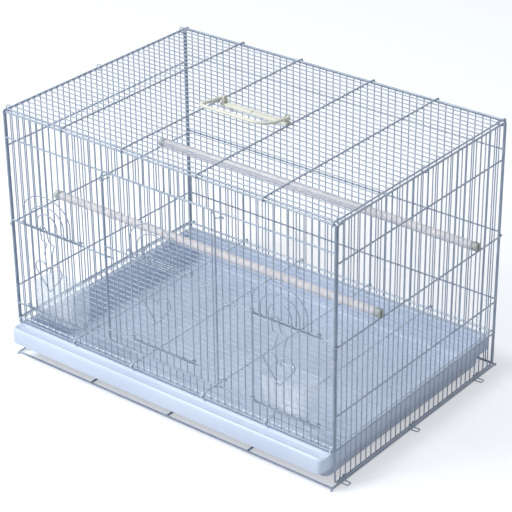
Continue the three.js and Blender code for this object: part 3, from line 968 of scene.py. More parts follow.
@dataclass
class Wirework:
    """The welded panels, the base and the loops that hold them together.

    Bends are multiples of the bent rod's radius, except those of the feet and staples.
    """

    layout: Layout
    gauges: Gauges
    material: bpy.types.Material
    # a lighter copy of the wire finish for the floor grate: painted light standing in for the lamp on
    # the tops of its wires
    painted_lit_grate_material: bpy.types.Material
    back_rods: tuple[float, ...] = (62.0, 120.0, 236.0, 372.0)
    side_rods: tuple[float, ...] = (64.0, 120.0, 230.7, 360.0)
    hooked_rod: float = 230.7
    hook_drop: float = 6.0
    hook_bend: float = 2.0
    back_bend: float = 2.5
    side_bend: float = 4.0
    foot_bend: float = 2.5
    staple_bend: float = 1.6
    base_bars: tuple[float, ...] = (-0.5, 0.0, 0.5)
    bead: float = 0.25
    lap: float = 0.7

    @property
    def over(self) -> float:
        """Centre distance of a rod that is pressed a little into the wires beside it."""
        return self.gauges.wire + self.gauges.rod - self.gauges.gap

    def piece(self, form: Form, node: str) -> None:
        """Finishes a fixed piece of wire under its node's name."""
        # the floor grate takes the lighter copy of the wire finish, a painted highlight on its wires
        material = self.painted_lit_grate_material if node == "floor_grate" else self.material
        form.finish(f"{node}_wires", Body.CAGE, Slot.WIRE, material, [node])

    def beads(self, form: Form, places: Iterable[Vector], radius: float) -> None:
        """Adds weld beads a little larger than the wires that meet there."""
        for place in places:
            form.weld(place, radius + self.bead)

    def front(self) -> None:
        """The front panel with its three openings."""
        lay, gauge, form = self.layout, self.gauges, Form()
        y, x = lay.front_y, lay.front_post_x
        whole = [(lay.bottom_z, lay.top_z)]
        beads = []
        for k in range(1, lay.front_intervals):
            main = MAIN_OPENING.holds(k)
            small = LEFT_OPENING.holds(k) or RIGHT_OPENING.holds(k)
            head = lay.upper_rod_z if main else lay.middle_rod_z
            cut = [(lay.bottom_z, lay.sill_z), (head, lay.top_z)]
            form.standing(lay.front_x(k), y, cut if main or small else whole, gauge.wire)
            beads += [lay.on_front(k, lay.sill_z), lay.on_front(k, lay.upper_rod_z)]
            if not main:
                beads.append(lay.on_front(k, lay.middle_rod_z))
        for post in (-x, x):
            form.standing(post, y, whole, gauge.border)
        for z in (lay.bottom_z, lay.top_z):
            form.across(x, y, z, gauge.border)
        for z in (lay.sill_z, lay.upper_rod_z):
            form.across(x, y, z, gauge.rod)
        # the middle rod stops at the main door's opening
        z = lay.middle_rod_z
        form.straight(Vector((-x, y, z)), lay.on_front(MAIN_OPENING.first, z), gauge.rod)
        form.straight(lay.on_front(MAIN_OPENING.last, z), Vector((x, y, z)), gauge.rod)
        self.beads(form, beads, gauge.rod)
        self.piece(form, "front_panel")

    def back(self) -> None:
        """The plain back panel."""
        lay, gauge, form = self.layout, self.gauges, Form()
        x, y = lay.front_post_x, lay.back_y
        low, high = lay.back_bottom_z, lay.top_z
        corners = [Vector((-x, y, low)), Vector((x, y, low))]
        corners += [Vector((x, y, high)), Vector((-x, y, high))]
        edge = fillet(corners, gauge.border * self.back_bend, closed=True)
        form.bent(edge, gauge.border, closed=True)
        for k in range(1, lay.front_intervals):
            wire_x = lay.front_x(k)
            form.standing(wire_x, y, [(low, high)], gauge.wire)
            laps = (Vector((wire_x, y + gauge.wire, z)) for z in self.back_rods)
            self.beads(form, laps, self.lap)
        for z in self.back_rods:
            form.across(x, y + self.over, z, gauge.rod)
        self.piece(form, "back_panel")

    def side(self, hand: Hand) -> None:
        """One side panel, its rods outside and the middle one hooked round the corner posts.

        Args:
            hand: the side that it stands on.
        """
        lay, gauge, form = self.layout, self.gauges, Form()
        x = hand.value * lay.side_x
        rod_x = x + hand.value * self.over
        front, back = lay.side_front_y, lay.side_back_y
        low, high = lay.back_bottom_z, lay.top_z
        corners = [Vector((x, front, low)), Vector((x, back, low))]
        corners += [Vector((x, back, high)), Vector((x, front, high))]
        edge = fillet(corners, gauge.border * self.side_bend, closed=True)
        form.bent(edge, gauge.border, closed=True)
        touch = x + hand.value * gauge.wire
        for j in range(1, lay.side_intervals):
            y = lay.side_y(j)
            form.standing(x, y, [(low, high)], gauge.wire)
            self.beads(form, (Vector((touch, y, z)) for z in self.side_rods), self.lap)
        reach = gauge.border + gauge.rod + gauge.gap
        hook_front, hook_back = lay.front_y - reach, lay.back_y + reach
        inner = rod_x - hand.value * self.hook_drop
        for z in self.side_rods:
            if z == self.hooked_rod:
                line = [Vector((inner, hook_front, z)), Vector((rod_x, hook_front, z))]
                line += [Vector((rod_x, hook_back, z)), Vector((inner, hook_back, z))]
                form.bent(fillet(line, gauge.rod * self.hook_bend), gauge.rod)
            else:
                form.straight(Vector((rod_x, front, z)), Vector((rod_x, back, z)), gauge.rod)
        self.piece(form, f"{hand.name.lower()}_side_panel")

    def grille(self, node: str) -> None:
        """The top panel or the floor grate: wires across, hooked rods from front to back.

        Args:
            node: the CAD node that it replaces.
        """
        lay, gauge, form = self.layout, self.gauges, Form()
        low, high = frame_box(node)
        wire_z = high.z - gauge.rod - gauge.spaced
        edge_x = high.x - gauge.rod
        for j in range(lay.side_intervals + 1):
            radius = gauge.border if j in (0, lay.side_intervals) else gauge.wire
            form.across(edge_x, lay.side_y(j), wire_z, radius)
        front, back = low.y + gauge.rod, high.y - gauge.rod
        # the edge rods lie level with the wires, and the cross rods over them
        rods = [(edge_x, 0.0, 0.0, gauge.rod)]
        rods += [(x, self.over, gauge.wire, self.lap) for x in lay.cross_x(gauge)]
        for hand in Hand:
            for away, rise, lift, bead in rods:
                x, z = hand.value * away, wire_z + rise
                foot = z - self.hook_drop
                line = [Vector((x, front, foot)), Vector((x, front, z))]
                line += [Vector((x, back, z)), Vector((x, back, foot))]
                form.bent(fillet(line, gauge.rod * self.hook_bend), gauge.rod)
                inner = range(1, lay.side_intervals)
                places = (Vector((x, lay.side_y(j), wire_z + lift)) for j in inner)
                self.beads(form, places, bead)
        self.piece(form, node)

    def base(self) -> None:
        """The base frame, whose edge rods turn down into feet."""
        low, high = frame_box("base_frame")
        radius, form = self.gauges.border, Form(sides=14)
        x, z = high.x - radius, high.z - radius
        foot_front, foot_back = low.y + radius, high.y - radius
        front, back = foot_front + self.foot_bend, foot_back - self.foot_bend
        for y in (front, back):
            form.across(x, y, z, radius)
        for share in self.base_bars:
            form.straight(Vector((share * x, front, z)), Vector((share * x, back, z)), radius)
        for hand in Hand:
            edge = hand.value * x
            line = [Vector((edge, foot_front, 0)), Vector((edge, foot_front, z))]
            line += [Vector((edge, foot_back, z)), Vector((edge, foot_back, 0))]
            form.bent(fillet(line, self.foot_bend), radius)
        self.piece(form, "base_frame")

    def loops(self) -> None:
        """The rings at the top and the staples at the base."""
        for hand in Hand:
            for place in ("front", "middle", "back"):
                self.top_ring(f"top_loop_{hand.name.lower()}_{place}")
                self.staple(f"base_loop_{hand.name.lower()}_{place}", hand)

    def top_ring(self, node: str) -> None:
        """One ring that hangs a side panel on the top panel.

        Args:
            node: the CAD node that it replaces.
        """
        low, high = frame_box(node)
        radius, form = self.gauges.loop, Form(sides=12)
        form.ring((low + high) / 2, AXIS_Y, (high.x - low.x) / 2 - radius, radius)
        self.piece(form, node)

    def staple(self, node: str, hand: Hand) -> None:
        """One staple over the side panel's bottom rod, standing out along the floor.

        Args:
            node: the CAD node that it replaces.
            hand: the side that it stands on.
        """
        low, high = frame_box(node)
        radius, form = self.gauges.loop, Form(sides=12)
        inner, outer = low.x + radius, high.x - radius
        if hand is Hand.LEFT:
            inner, outer = outer, inner
        tip = hand.value * (self.layout.side_x + self.gauges.border)
        foot, over = radius, high.z - radius
        half = [(tip, over), (inner, over), (inner, foot), (outer, foot)]
        line = [Vector((x, low.y + radius, z)) for x, z in half]
        line += [Vector((x, high.y - radius, z)) for x, z in reversed(half)]
        form.bent(fillet(line, self.staple_bend), radius)
        self.piece(form, node)

    def build(self) -> None:
        """Builds all the fixed wire pieces."""
        self.front()
        self.back()
        for hand in Hand:
            self.side(hand)
        self.grille("top_panel")
        self.grille("floor_grate")
        self.base()
        self.loops()


# ---------------------------------------------------------------- doors


@dataclass(frozen=True)
class Ornament:
    """Arches, bird neck and heart of a small door, from the middle of its lower rail.

    An arch is given by its half width in pitches, the height where it springs and its rise.
    The neck's legs stand apart in pitches too.
    """

    shift: float = -5.4
    pitch: float = 13.7
    arches: tuple[tuple[float, float, float], ...] = (
        (3.5, 165.5, 37.0), (2.5, 159.5, 27.0), (1.5, 153.5, 20.0),
    )
    neck_leg: float = 0.5
    neck_left: tuple[tuple[float, float], ...] = (
        (-6.85, 97.5), (-8.8, 106.5), (-2.8, 124.0), (-12.6, 127.0), (-15.0, 145.5),
    )
    neck_right: tuple[tuple[float, float], ...] = (
        (6.85, 99.5), (7.8, 108.2), (12.7, 124.5), (2.1, 128.0), (-2.7, 146.5),
    )
    neck_bend: float = 1.6
    crown: float = 6.2
    heart_tip: float = 42.5
    lobe_x: float = 15.2
    lobe_z: float = 79.5
    lobe: float = 12.2
    lobe_start: float = -20.0
    lobe_turn: float = 215.0
    heart_depth: float = 1.9


@dataclass(frozen=True)
class DoorFace:
    """The plane of a small door's wires, with its origin on the lower rail."""

    middle: float
    y: float
    rail_z: float

    def at(self, x: float, z: float) -> Vector:
        """A point of the door."""
        return Vector((self.middle + x, self.y, self.rail_z + z))


@dataclass
class Doors:
    """The swinging main door and the three arched doors that slide up."""

    layout: Layout
    gauges: Gauges
    material: bpy.types.Material
    ornament: Ornament = field(default_factory=Ornament)
    curl: float = 2.8
    curl_turn: float = 300.0
    curl_lead: float = 2.0
    standoff: float = 4.0
    rail_rise: float = 144.5
    bead: float = 1.0
    main_standoff: float = 5.5
    main_bead: float = 0.2
    middle_sill_z: float = 116.5
    middle_head_z: float = 257.0
    corner: float = 9.0
    hinge_offset: float = 7.4
    hinge_ring: float = 3.2
    hinge_start: float = 225.0
    hinge_turn: float = 330.0
    hinge_inset: float = 11.0
    catch_z: float = 372.0
    catch_ring: float = 4.2
    catch_drop: float = 6.0
    catch_bend: float = 1.2
    tail_drop: float = 3.0
    tail_out: float = 2.0
    tail_in: float = 7.0

    def arched(self, node: str, body: Body, opening: Span) -> None:
        """One arched door.

        Args:
            node: the CAD node that it replaces.
            body: the body that it rides on.
            opening: the wires that it slides on.
        """
        lay, gauge, art, form = self.layout, self.gauges, self.ornament, Form()
        low, high = frame_box(node)
        plane_y = high.y - self.curl - gauge.wire
        middle = (lay.front_x(opening.first) + lay.front_x(opening.last)) / 2 + art.shift
        face = DoorFace(middle, plane_y - self.standoff, low.z + gauge.rail)
        for rise in (0.0, self.rail_rise):
            form.bent(self.curled_rail(opening, face, plane_y, face.rail_z + rise), gauge.rail)
        for leg, spring, rise in art.arches:
            half = leg * art.pitch
            crown = arc(face.at(0, spring), AXIS_X * half, AXIS_Z * rise, 180, -180, 24)
            form.bent([face.at(-half, 0), *crown, face.at(half, 0)], gauge.wire)
        form.bent(self.neck(face), gauge.wire)
        form.bent(self.heart(face), gauge.wire)
        # the neck's legs are welded to the lower rail, and the arches' legs to both
        welds = [(art.neck_leg, 0.0)]
        welds += [(leg, rise) for leg, _, _ in art.arches for rise in (0.0, self.rail_rise)]
        for leg, rise in welds:
            for hand in Hand:
                place = face.at(hand.value * leg * art.pitch, rise)
                form.weld(place + AXIS_Y * gauge.wire, self.bead)
        form.finish(f"{node}_wires", body, Slot.WIRE, self.material, [node])

    def curled_rail(self, opening: Span, face: DoorFace, plane_y: float, z: float) -> list[Vector]:
        """A rail whose two ends curl once round the wires that it slides on.

        Args:
            opening: those wires.
            face: the plane of the door's wires, which lie on the rail's front.
            plane_y: Y of the wires that it slides on.
            z: the rail's height.

        Returns:
            The rail's centre line.
        """
        gauge, radius, turn = self.gauges, self.curl, self.curl_turn
        left, right = self.layout.front_x(opening.first), self.layout.front_x(opening.last)
        rail_y = face.y + gauge.wire + gauge.rail - gauge.gap
        axes = (AXIS_X * radius, AXIS_Y * radius)
        left_curl = arc(Vector((left, plane_y, z)), *axes, 270 - turn, turn, 16)
        right_curl = arc(Vector((right, plane_y, z)), *axes, 270, turn, 16)
        lead = radius + abs(plane_y - radius - rail_y) + self.curl_lead
        inner = [Vector((left + lead, rail_y, z)), Vector((right - lead, rail_y, z))]
        return [*left_curl, *inner, *right_curl]

    def neck(self, face: DoorFace) -> list[Vector]:
        """The bird's neck: two wires that swing aside and close in a round crown.

        Args:
            face: the plane that it lies in.

        Returns:
            Its centre line.
        """
        art = self.ornament
        leg = art.neck_leg * art.pitch
        left = [face.at(-leg, 0)] + [face.at(x, z) for x, z in art.neck_left]
        right = [face.at(leg, 0)] + [face.at(x, z) for x, z in art.neck_right]
        crown_x = (art.neck_left[-1][0] + art.neck_right[-1][0]) / 2
        crown_z = (art.neck_left[-1][1] + art.neck_right[-1][1]) / 2
        axes = (AXIS_X * art.crown, AXIS_Z * art.crown)
        crown = arc(face.at(crown_x, crown_z), *axes, 180, -180, 10)
        left, right = (fillet(line, art.neck_bend, steps=3) for line in (left, right))
        return [*left, *crown[1:-1], *reversed(right)]

    def heart(self, face: DoorFace) -> list[Vector]:
        """An open heart, tip down, whose lobes curl in at the top.

        Args:
            face: the plane that it stands before.

        Returns:
            Its centre line.
        """
        art = self.ornament
        front = Vector((0, -art.heart_depth, 0))
        left, right = (
            arc(
                face.at(hand.value * art.lobe_x, art.lobe_z) + front,
                AXIS_X * hand.value * art.lobe, AXIS_Z * art.lobe,
                art.lobe_start, art.lobe_turn, 16,
            )
            for hand in Hand
        )
        return [*reversed(left), face.at(0, art.heart_tip) + front, *right]

    def main(self) -> None:
        """The main door: a thick round-cornered frame, its wires, hinge rings and catch."""
        lay, gauge, form = self.layout, self.gauges, Form()
        low, high = frame_box("main_door")
        hinge_x = lay.front_x(MAIN_OPENING.last)
        bottom, top = low.z + gauge.door_frame, high.z - gauge.door_frame
        left, right = low.x + gauge.door_frame, hinge_x - self.hinge_offset
        y = lay.front_y - self.main_standoff
        corners = [Vector((left, y, bottom)), Vector((right, y, bottom))]
        corners += [Vector((right, y, top)), Vector((left, y, top))]
        edge = fillet(corners, self.corner, closed=True, steps=8)
        form.bent(edge, gauge.door_frame, closed=True)
        rails = (self.middle_sill_z, self.middle_head_z)
        for k in range(MAIN_OPENING.first + 1, MAIN_OPENING.last):
            x = lay.front_x(k)
            spans = [(bottom, top)]
            if MIDDLE_OPENING.holds(k):
                spans = [(bottom, self.middle_sill_z), (self.middle_head_z, top)]
            form.standing(x, y, spans, gauge.wire)
            for z in rails:
                form.weld(Vector((x, y, z)), gauge.rod + self.main_bead)
        for z in rails:
            form.straight(Vector((left, y, z)), Vector((right, y, z)), gauge.rod)
        for z in (bottom + self.hinge_inset, top - self.hinge_inset):
            self.hinge(form, lay.on_front(MAIN_OPENING.last, z), Vector((right, y, z)))
        self.catch(form, Vector((left, y, self.catch_z)))
        form.finish("main_door_wires", Body.MAIN_DOOR, Slot.WIRE, self.material, ["main_door"])

    def hinge(self, form: Form, pivot: Vector, root: Vector) -> None:
        """One hinge ring round the hinge wire, on a short arm from the frame.

        Args:
            form: the door's form.
            pivot: a point of the hinge wire.
            root: where the arm leaves the frame.
        """
        axes = (AXIS_X * self.hinge_ring, AXIS_Y * self.hinge_ring)
        curl = arc(pivot, *axes, self.hinge_start, self.hinge_turn, 18)
        form.bent([root, *curl], self.gauges.wire)

    def catch(self, form: Form, root: Vector) -> None:
        """The spring catch: a loop on the frame with a tail that presses past the next wire.

        Args:
            form: the door's form.
            root: where it leaves the frame.
        """
        gauge = self.gauges
        loop = root - AXIS_Z * self.catch_drop
        form.ring(loop, AXIS_Y, self.catch_ring, gauge.loop, steps=20)
        tail_x = self.layout.front_x(MAIN_OPENING.first) - gauge.wire - gauge.gap - gauge.loop
        z = root.z - self.tail_drop
        tail = [Vector((tail_x, y, z)) for y in (root.y - self.tail_out, root.y + self.tail_in)]
        form.bent(fillet([root, *tail], self.catch_bend), gauge.loop)

    def build(self) -> None:
        """Builds all the doors."""
        self.main()
        self.arched("left_door", Body.LEFT_DOOR, LEFT_OPENING)
        self.arched("right_door", Body.RIGHT_DOOR, RIGHT_OPENING)
        self.arched("middle_door", Body.MIDDLE_DOOR, MIDDLE_OPENING)


# ---------------------------------------------------------------- tray


@dataclass
class Tray:
    """The pull-out tray: a drafted pan, a turned-down rim and a dished front lip.

    A row of the rim's section gives the distance across the front lip and the height there,
    then both for the other three sides. Distances count from the pan, or back from the outer
    edge where they are 0 or less. Heights count from the rim.
    """

    layout: Layout
    material: bpy.types.Material
    wall: float = 1.8
    rim: float = 8.0
    crest: float = 1.5
    front_gap: float = 3.0
    draft: float = 3.0
    corner: float = 12.0
    lip_corner: float = 9.0
    foot: float = 6.0
    foot_turns: tuple[float, ...] = (0, 20, 45, 70, 90)
    foot_corner: float = 0.6
    foot_growth: float = 0.25
    wall_head: float = 1.2
    lip_face_z: float = 33.0
    skirt_z: float = 36.0
    section: tuple[tuple[float, float, float, float], ...] = (
        (0.5, -0.3, 0.5, -0.3), (1.8, 0.0, 1.8, 0.0), (3.6, -0.2, 3.4, 0.0),
        (6.2, -3.4, 4.6, 0.0), (8.0, -4.0, 5.2, 0.0), (14.0, -4.0, 5.8, 0.0),
        (-9.2, -4.0, 6.4, 0.0), (-8.0, -3.0, 6.9, 0.0), (-6.9, -0.4, 7.5, 0.0),
        (-5.4, 1.1, 8.1, 0.0), (-3.8, 1.5, 8.6, 0.0), (-2.2, 1.1, 9.1, -0.1),
        (-0.9, -0.3, 9.5, -0.5), (-0.2, -2.4, 9.75, -1.2), (0.0, -4.6, 0.0, -2.4),
    )

    def build(self) -> None:
        """Builds the tray as one skin, raised ring by ring from its floor, and thickens it."""
        low, high = frame_box("tray")
        top, floor, wall = high.z - self.crest, low.z + self.wall, self.wall
        pan_front = self.layout.front_y + self.front_gap + wall
        pan_low = Vector((low.x + self.rim + wall, pan_front, 0))
        pan_high = Vector((high.x - self.rim - wall, high.y - self.rim - wall, 0))
        inner = rounded_outline(pan_low, pan_high, self.corner, self.corner)
        outer = rounded_outline(low, high, self.lip_corner, self.corner / 2)
        edge = (0.0, self.lip_face_z - top, 0.0, self.skirt_z - top)
        rings = [self.foot_ring(pan_low, pan_high, floor, turn) for turn in self.foot_turns]
        rings.append(level(inner, top - self.wall_head))
        rings += [
            self.rim_ring(inner, outer, top, pan_front - low.y, row)
            for row in (*self.section, edge)
        ]
        form = Form()
        form.pan(rings)
        tray = form.finish(
            "tray_shell", Body.TRAY, Slot.TRAY, self.material, ["tray"], sharp=60
        )
        self.face_up(tray)
        thicken(tray, wall)

    def foot_ring(self, low: Vector, high: Vector, floor: float, turn: float) -> list[Vector]:
        """Outline of the pan at one height of the round foot of its wall.

        Args:
            low: least corner of the pan's mouth.
            high: greatest corner of the pan's mouth.
            floor: height of the pan's floor.
            turn: how far the foot has turned up from the floor, in degrees.

        Returns:
            The outline's points.
        """
        angle = math.radians(turn)
        inset = Vector((1, 1, 0)) * (self.draft + self.foot * (1 - math.sin(angle)))
        radius = self.corner * (self.foot_corner + self.foot_growth * math.sin(angle))
        outline = rounded_outline(low + inset, high - inset, radius, radius)
        return level(outline, floor + self.foot * (1 - math.cos(angle)))

    def rim_ring(
        self, inner: Sequence[Vector], outer: Sequence[Vector], top: float, lip: float,
        row: tuple[float, float, float, float],
    ) -> list[Vector]:
        """One ring of the rim and the lip.

        Args:
            inner: outline of the pan's mouth.
            outer: outline of the rim's outer edge.
            top: height of the rim.
            lip: width of the front lip.
            row: the ring's row of the section.

        Returns:
            The ring's points.
        """
        lip_share = self.share(row[0], lip)
        side_share = self.share(row[2], self.rim + self.wall)
        ring = []
        for near, far, front in zip(inner, outer, self.front_shares(len(inner))):
            place = near.lerp(far, lip_share * front + side_share * (1 - front))
            place.z = top + row[1] * front + row[3] * (1 - front)
            ring.append(place)
        return ring

    @staticmethod
    def share(distance: float, width: float) -> float:
        """A distance as a share of a width, back from its far side where it is 0 or less."""
        return distance / width if distance > 0 else 1 + distance / width

    @staticmethod
    def front_shares(total: int) -> list[float]:
        """How much each point of an outline belongs to the front: 1 along it, 0 past its corners.

        Args:
            total: points in the outline.

        Returns:
            One share for each point.
        """
        steps = total // 4
        shares = [0.0] * total
        for index in range(steps):
            share = index / (steps - 1)
            shares[index] = shares[2 * steps - 1 - index] = share * share * (3 - 2 * share)
        return shares

    @staticmethod
    def face_up(tray: bpy.types.Object) -> None:
        """Turns the skin so that its floor, its largest face, faces up.

        Args:
            tray: the skin's object.
        """
        floor = max(tray.data.polygons, key=lambda face: face.area)
        if floor.normal.z < 0:
            tray.data.flip_normals()


# ---------------------------------------------------------------- perches, cups and handle


@dataclass
class Perches:
    """Two moulded perches with slotted caps that grip the side wires."""

    bar: bpy.types.Material
    cap: bpy.types.Material
    bar_edge: float = 0.8
    knob_pitch: float = 12.0
    knob_depth: float = 1.3
    knob_step: float = 1.6
    knob_edge: float = 1.0
    slot: float = 2.6
    slot_depth: float = 7.0
    cap_edge: float = 0.6
    jaw_edge: float = 0.7
    overlap: float = 0.2

    def build(self) -> None:
        """Builds both perches and their caps."""
        for place, outline in (("front", self.knobbly), ("back", self.smooth)):
            node = f"perch_{place}"
            low, high = frame_box(node)
            radius, length = (high.z - low.z) / 2, high.x - low.x
            foot = Vector((low.x, (low.y + high.y) / 2, (low.z + high.z) / 2))
            form = Form()
            form.turned(outline(radius, length), foot, AXIS_X)
            form.finish(f"{node}_bar", Body.CAGE, Slot.PERCH, self.bar, [node])
            for hand in Hand:
                self.end_cap(f"{node}_cap_{hand.name.lower()}", hand)

    def smooth(self, radius: float, length: float) -> list[tuple[float, float]]:
        """Half outline of the smooth perch, from its left end.

        Args:
            radius: the perch's radius.
            length: its length.

        Returns:
            Pairs of distance along it and radius.
        """
        edge = self.bar_edge
        return [
            (0.0, 0.0), (0.0, radius - edge), (edge, radius),
            (length - edge, radius), (length, radius - edge), (length, 0.0),
        ]

    def knobbly(self, radius: float, length: float) -> list[tuple[float, float]]:
        """Half outline of the knobbly perch, from its left end.

        Args:
            radius: the radius of its knobs.
            length: its length.

        Returns:
            Pairs of distance along it and radius.
        """
        steps = round(length / self.knob_step)
        outline = [(0.0, 0.0), (0.0, radius - self.knob_edge)]
        for step in range(1, steps):
            along = length * step / steps
            wave = 0.5 + 0.5 * math.cos(math.tau * along / self.knob_pitch)
            outline.append((along, radius - self.knob_depth * wave))
        return [*outline, (length, radius - self.knob_edge), (length, 0.0)]

    def end_cap(self, node: str, hand: Hand) -> None:
        """One cap: a turned base with two jaws on either side of the slot.

        Args:
            node: the CAD node that it replaces.
            hand: the end of the perch that it sits on.
        """
        low, high = frame_box(node)
        middle, radius, length = (low + high) / 2, (high.z - low.z) / 2, high.x - low.x
        inner = low.x if hand is Hand.RIGHT else high.x
        foot = Vector((inner, middle.y, middle.z))
        way = AXIS_X * hand.value
        base, edge, form = length - self.slot_depth, self.cap_edge, Form()
        outline = [(0, 0), (0, radius - edge), (edge, radius), (base, radius), (base, 0)]
        form.turned(outline, foot, way)
        root = foot + way * (base - self.overlap)
        for side in Side:
            self.jaw(form, root, way * (length - base + self.overlap), radius, side)
        form.finish(f"{node}_jaws", Body.CAGE, Slot.CAP, self.cap, [node])

    def jaw(self, form: Form, foot: Vector, reach: Vector, radius: float, side: Side) -> None:
        """Half a disc beside the slot, drawn out along the perch.

        Args:
            form: the cap's form.
            foot: where the perch's axis leaves the cap's base.
            reach: the jaw's length and direction.
            radius: the cap's radius.
            side: before or behind the slot.
        """
        part, way = bmesh.new(), AXIS_Y * side.value
        bmesh.ops.create_circle(
            part, cap_ends=True, segments=ROUND_STEPS, radius=radius,
            matrix=form.upright(foot, reach),
        )
        bmesh.ops.bisect_plane(
            part, geom=[*part.verts, *part.edges, *part.faces],
            plane_co=foot + way * self.slot / 2, plane_no=way, clear_inner=True,
        )
        grown = bmesh.ops.extrude_face_region(part, geom=list(part.faces))["geom"]
        verts = [item for item in grown if isinstance(item, bmesh.types.BMVert)]
        bmesh.ops.translate(part, verts=verts, vec=reach)
        bmesh.ops.recalc_face_normals(part, faces=part.faces)
        tip = [edge for edge in part.edges if all(vert in verts for vert in edge.verts)]
        form.soften(part, tip, self.jaw_edge, 2)
        form.gather(part)


@dataclass
class Cups:
    """The two clear seed cups behind the side doors.

    The foot's curve holds pairs of inset and height, as shares of the foot.
    """

    layout: Layout
    material: bpy.types.Material
    width: float = 84.0
    depth: float = 45.0
    height: float = 62.0
    wall: float = 1.6
    corner: float = 9.0
    draft: float = 3.0
    draft_share: float = 0.6
    foot: float = 4.0
    foot_curve: tuple[tuple[float, float], ...] = ((0.9, 0.0), (0.35, 0.2), (0.0, 1.0))
    brim: float = 2.5
    shift: float = -9.5
    lip: float = 52.0
    lip_rise: float = 15.6
    overlap: float = 0.2

    def build(self) -> None:
        """Builds both cups."""
        self.cup("left_cup", Body.LEFT_CUP, LEFT_OPENING)
        self.cup("right_cup", Body.RIGHT_CUP, RIGHT_OPENING)

    def cup(self, node: str, body: Body, opening: Span) -> None:
        """One cup, hung by its lip on the sill.

        Args:
            node: the CAD node that it replaces.
            body: the body that it rides on.
            opening: the opening that it hangs behind.
        """
        low, high = frame_box(node)
        left, right = self.layout.front_x(opening.first), self.layout.front_x(opening.last)
        middle = (left + right) / 2 + self.shift
        front = high.y - self.depth
        mouth_low = Vector((middle - self.width / 2, front, 0))
        mouth_high = Vector((middle + self.width / 2, high.y, 0))
        levels = [(self.draft + self.foot * x, self.foot * z) for x, z in self.foot_curve]
        levels += [(0.0, self.height - self.brim), (0.0, self.height)]
        rings = []
        for inset, rise in levels:
            step = Vector((inset, inset * self.draft_share, 0))
            outline = rounded_outline(mouth_low + step, mouth_high - step, self.corner, self.corner)
            rings.append(level(outline, low.z + rise))
        form = Form()
        form.pan(rings)
        shell = form.finish(f"{node}_shell", body, Slot.CUP, self.material, [node], sharp=50)
        thicken(shell, self.wall)
        lip, lip_z = Form(), low.z + self.lip_rise
        lip.block(
            Vector((middle - self.lip / 2, low.y, lip_z)),
            Vector((middle + self.lip / 2, front + self.overlap, lip_z + self.wall)),
        )
        lip.finish(f"{node}_lip", body, Slot.CUP, self.material, [node])


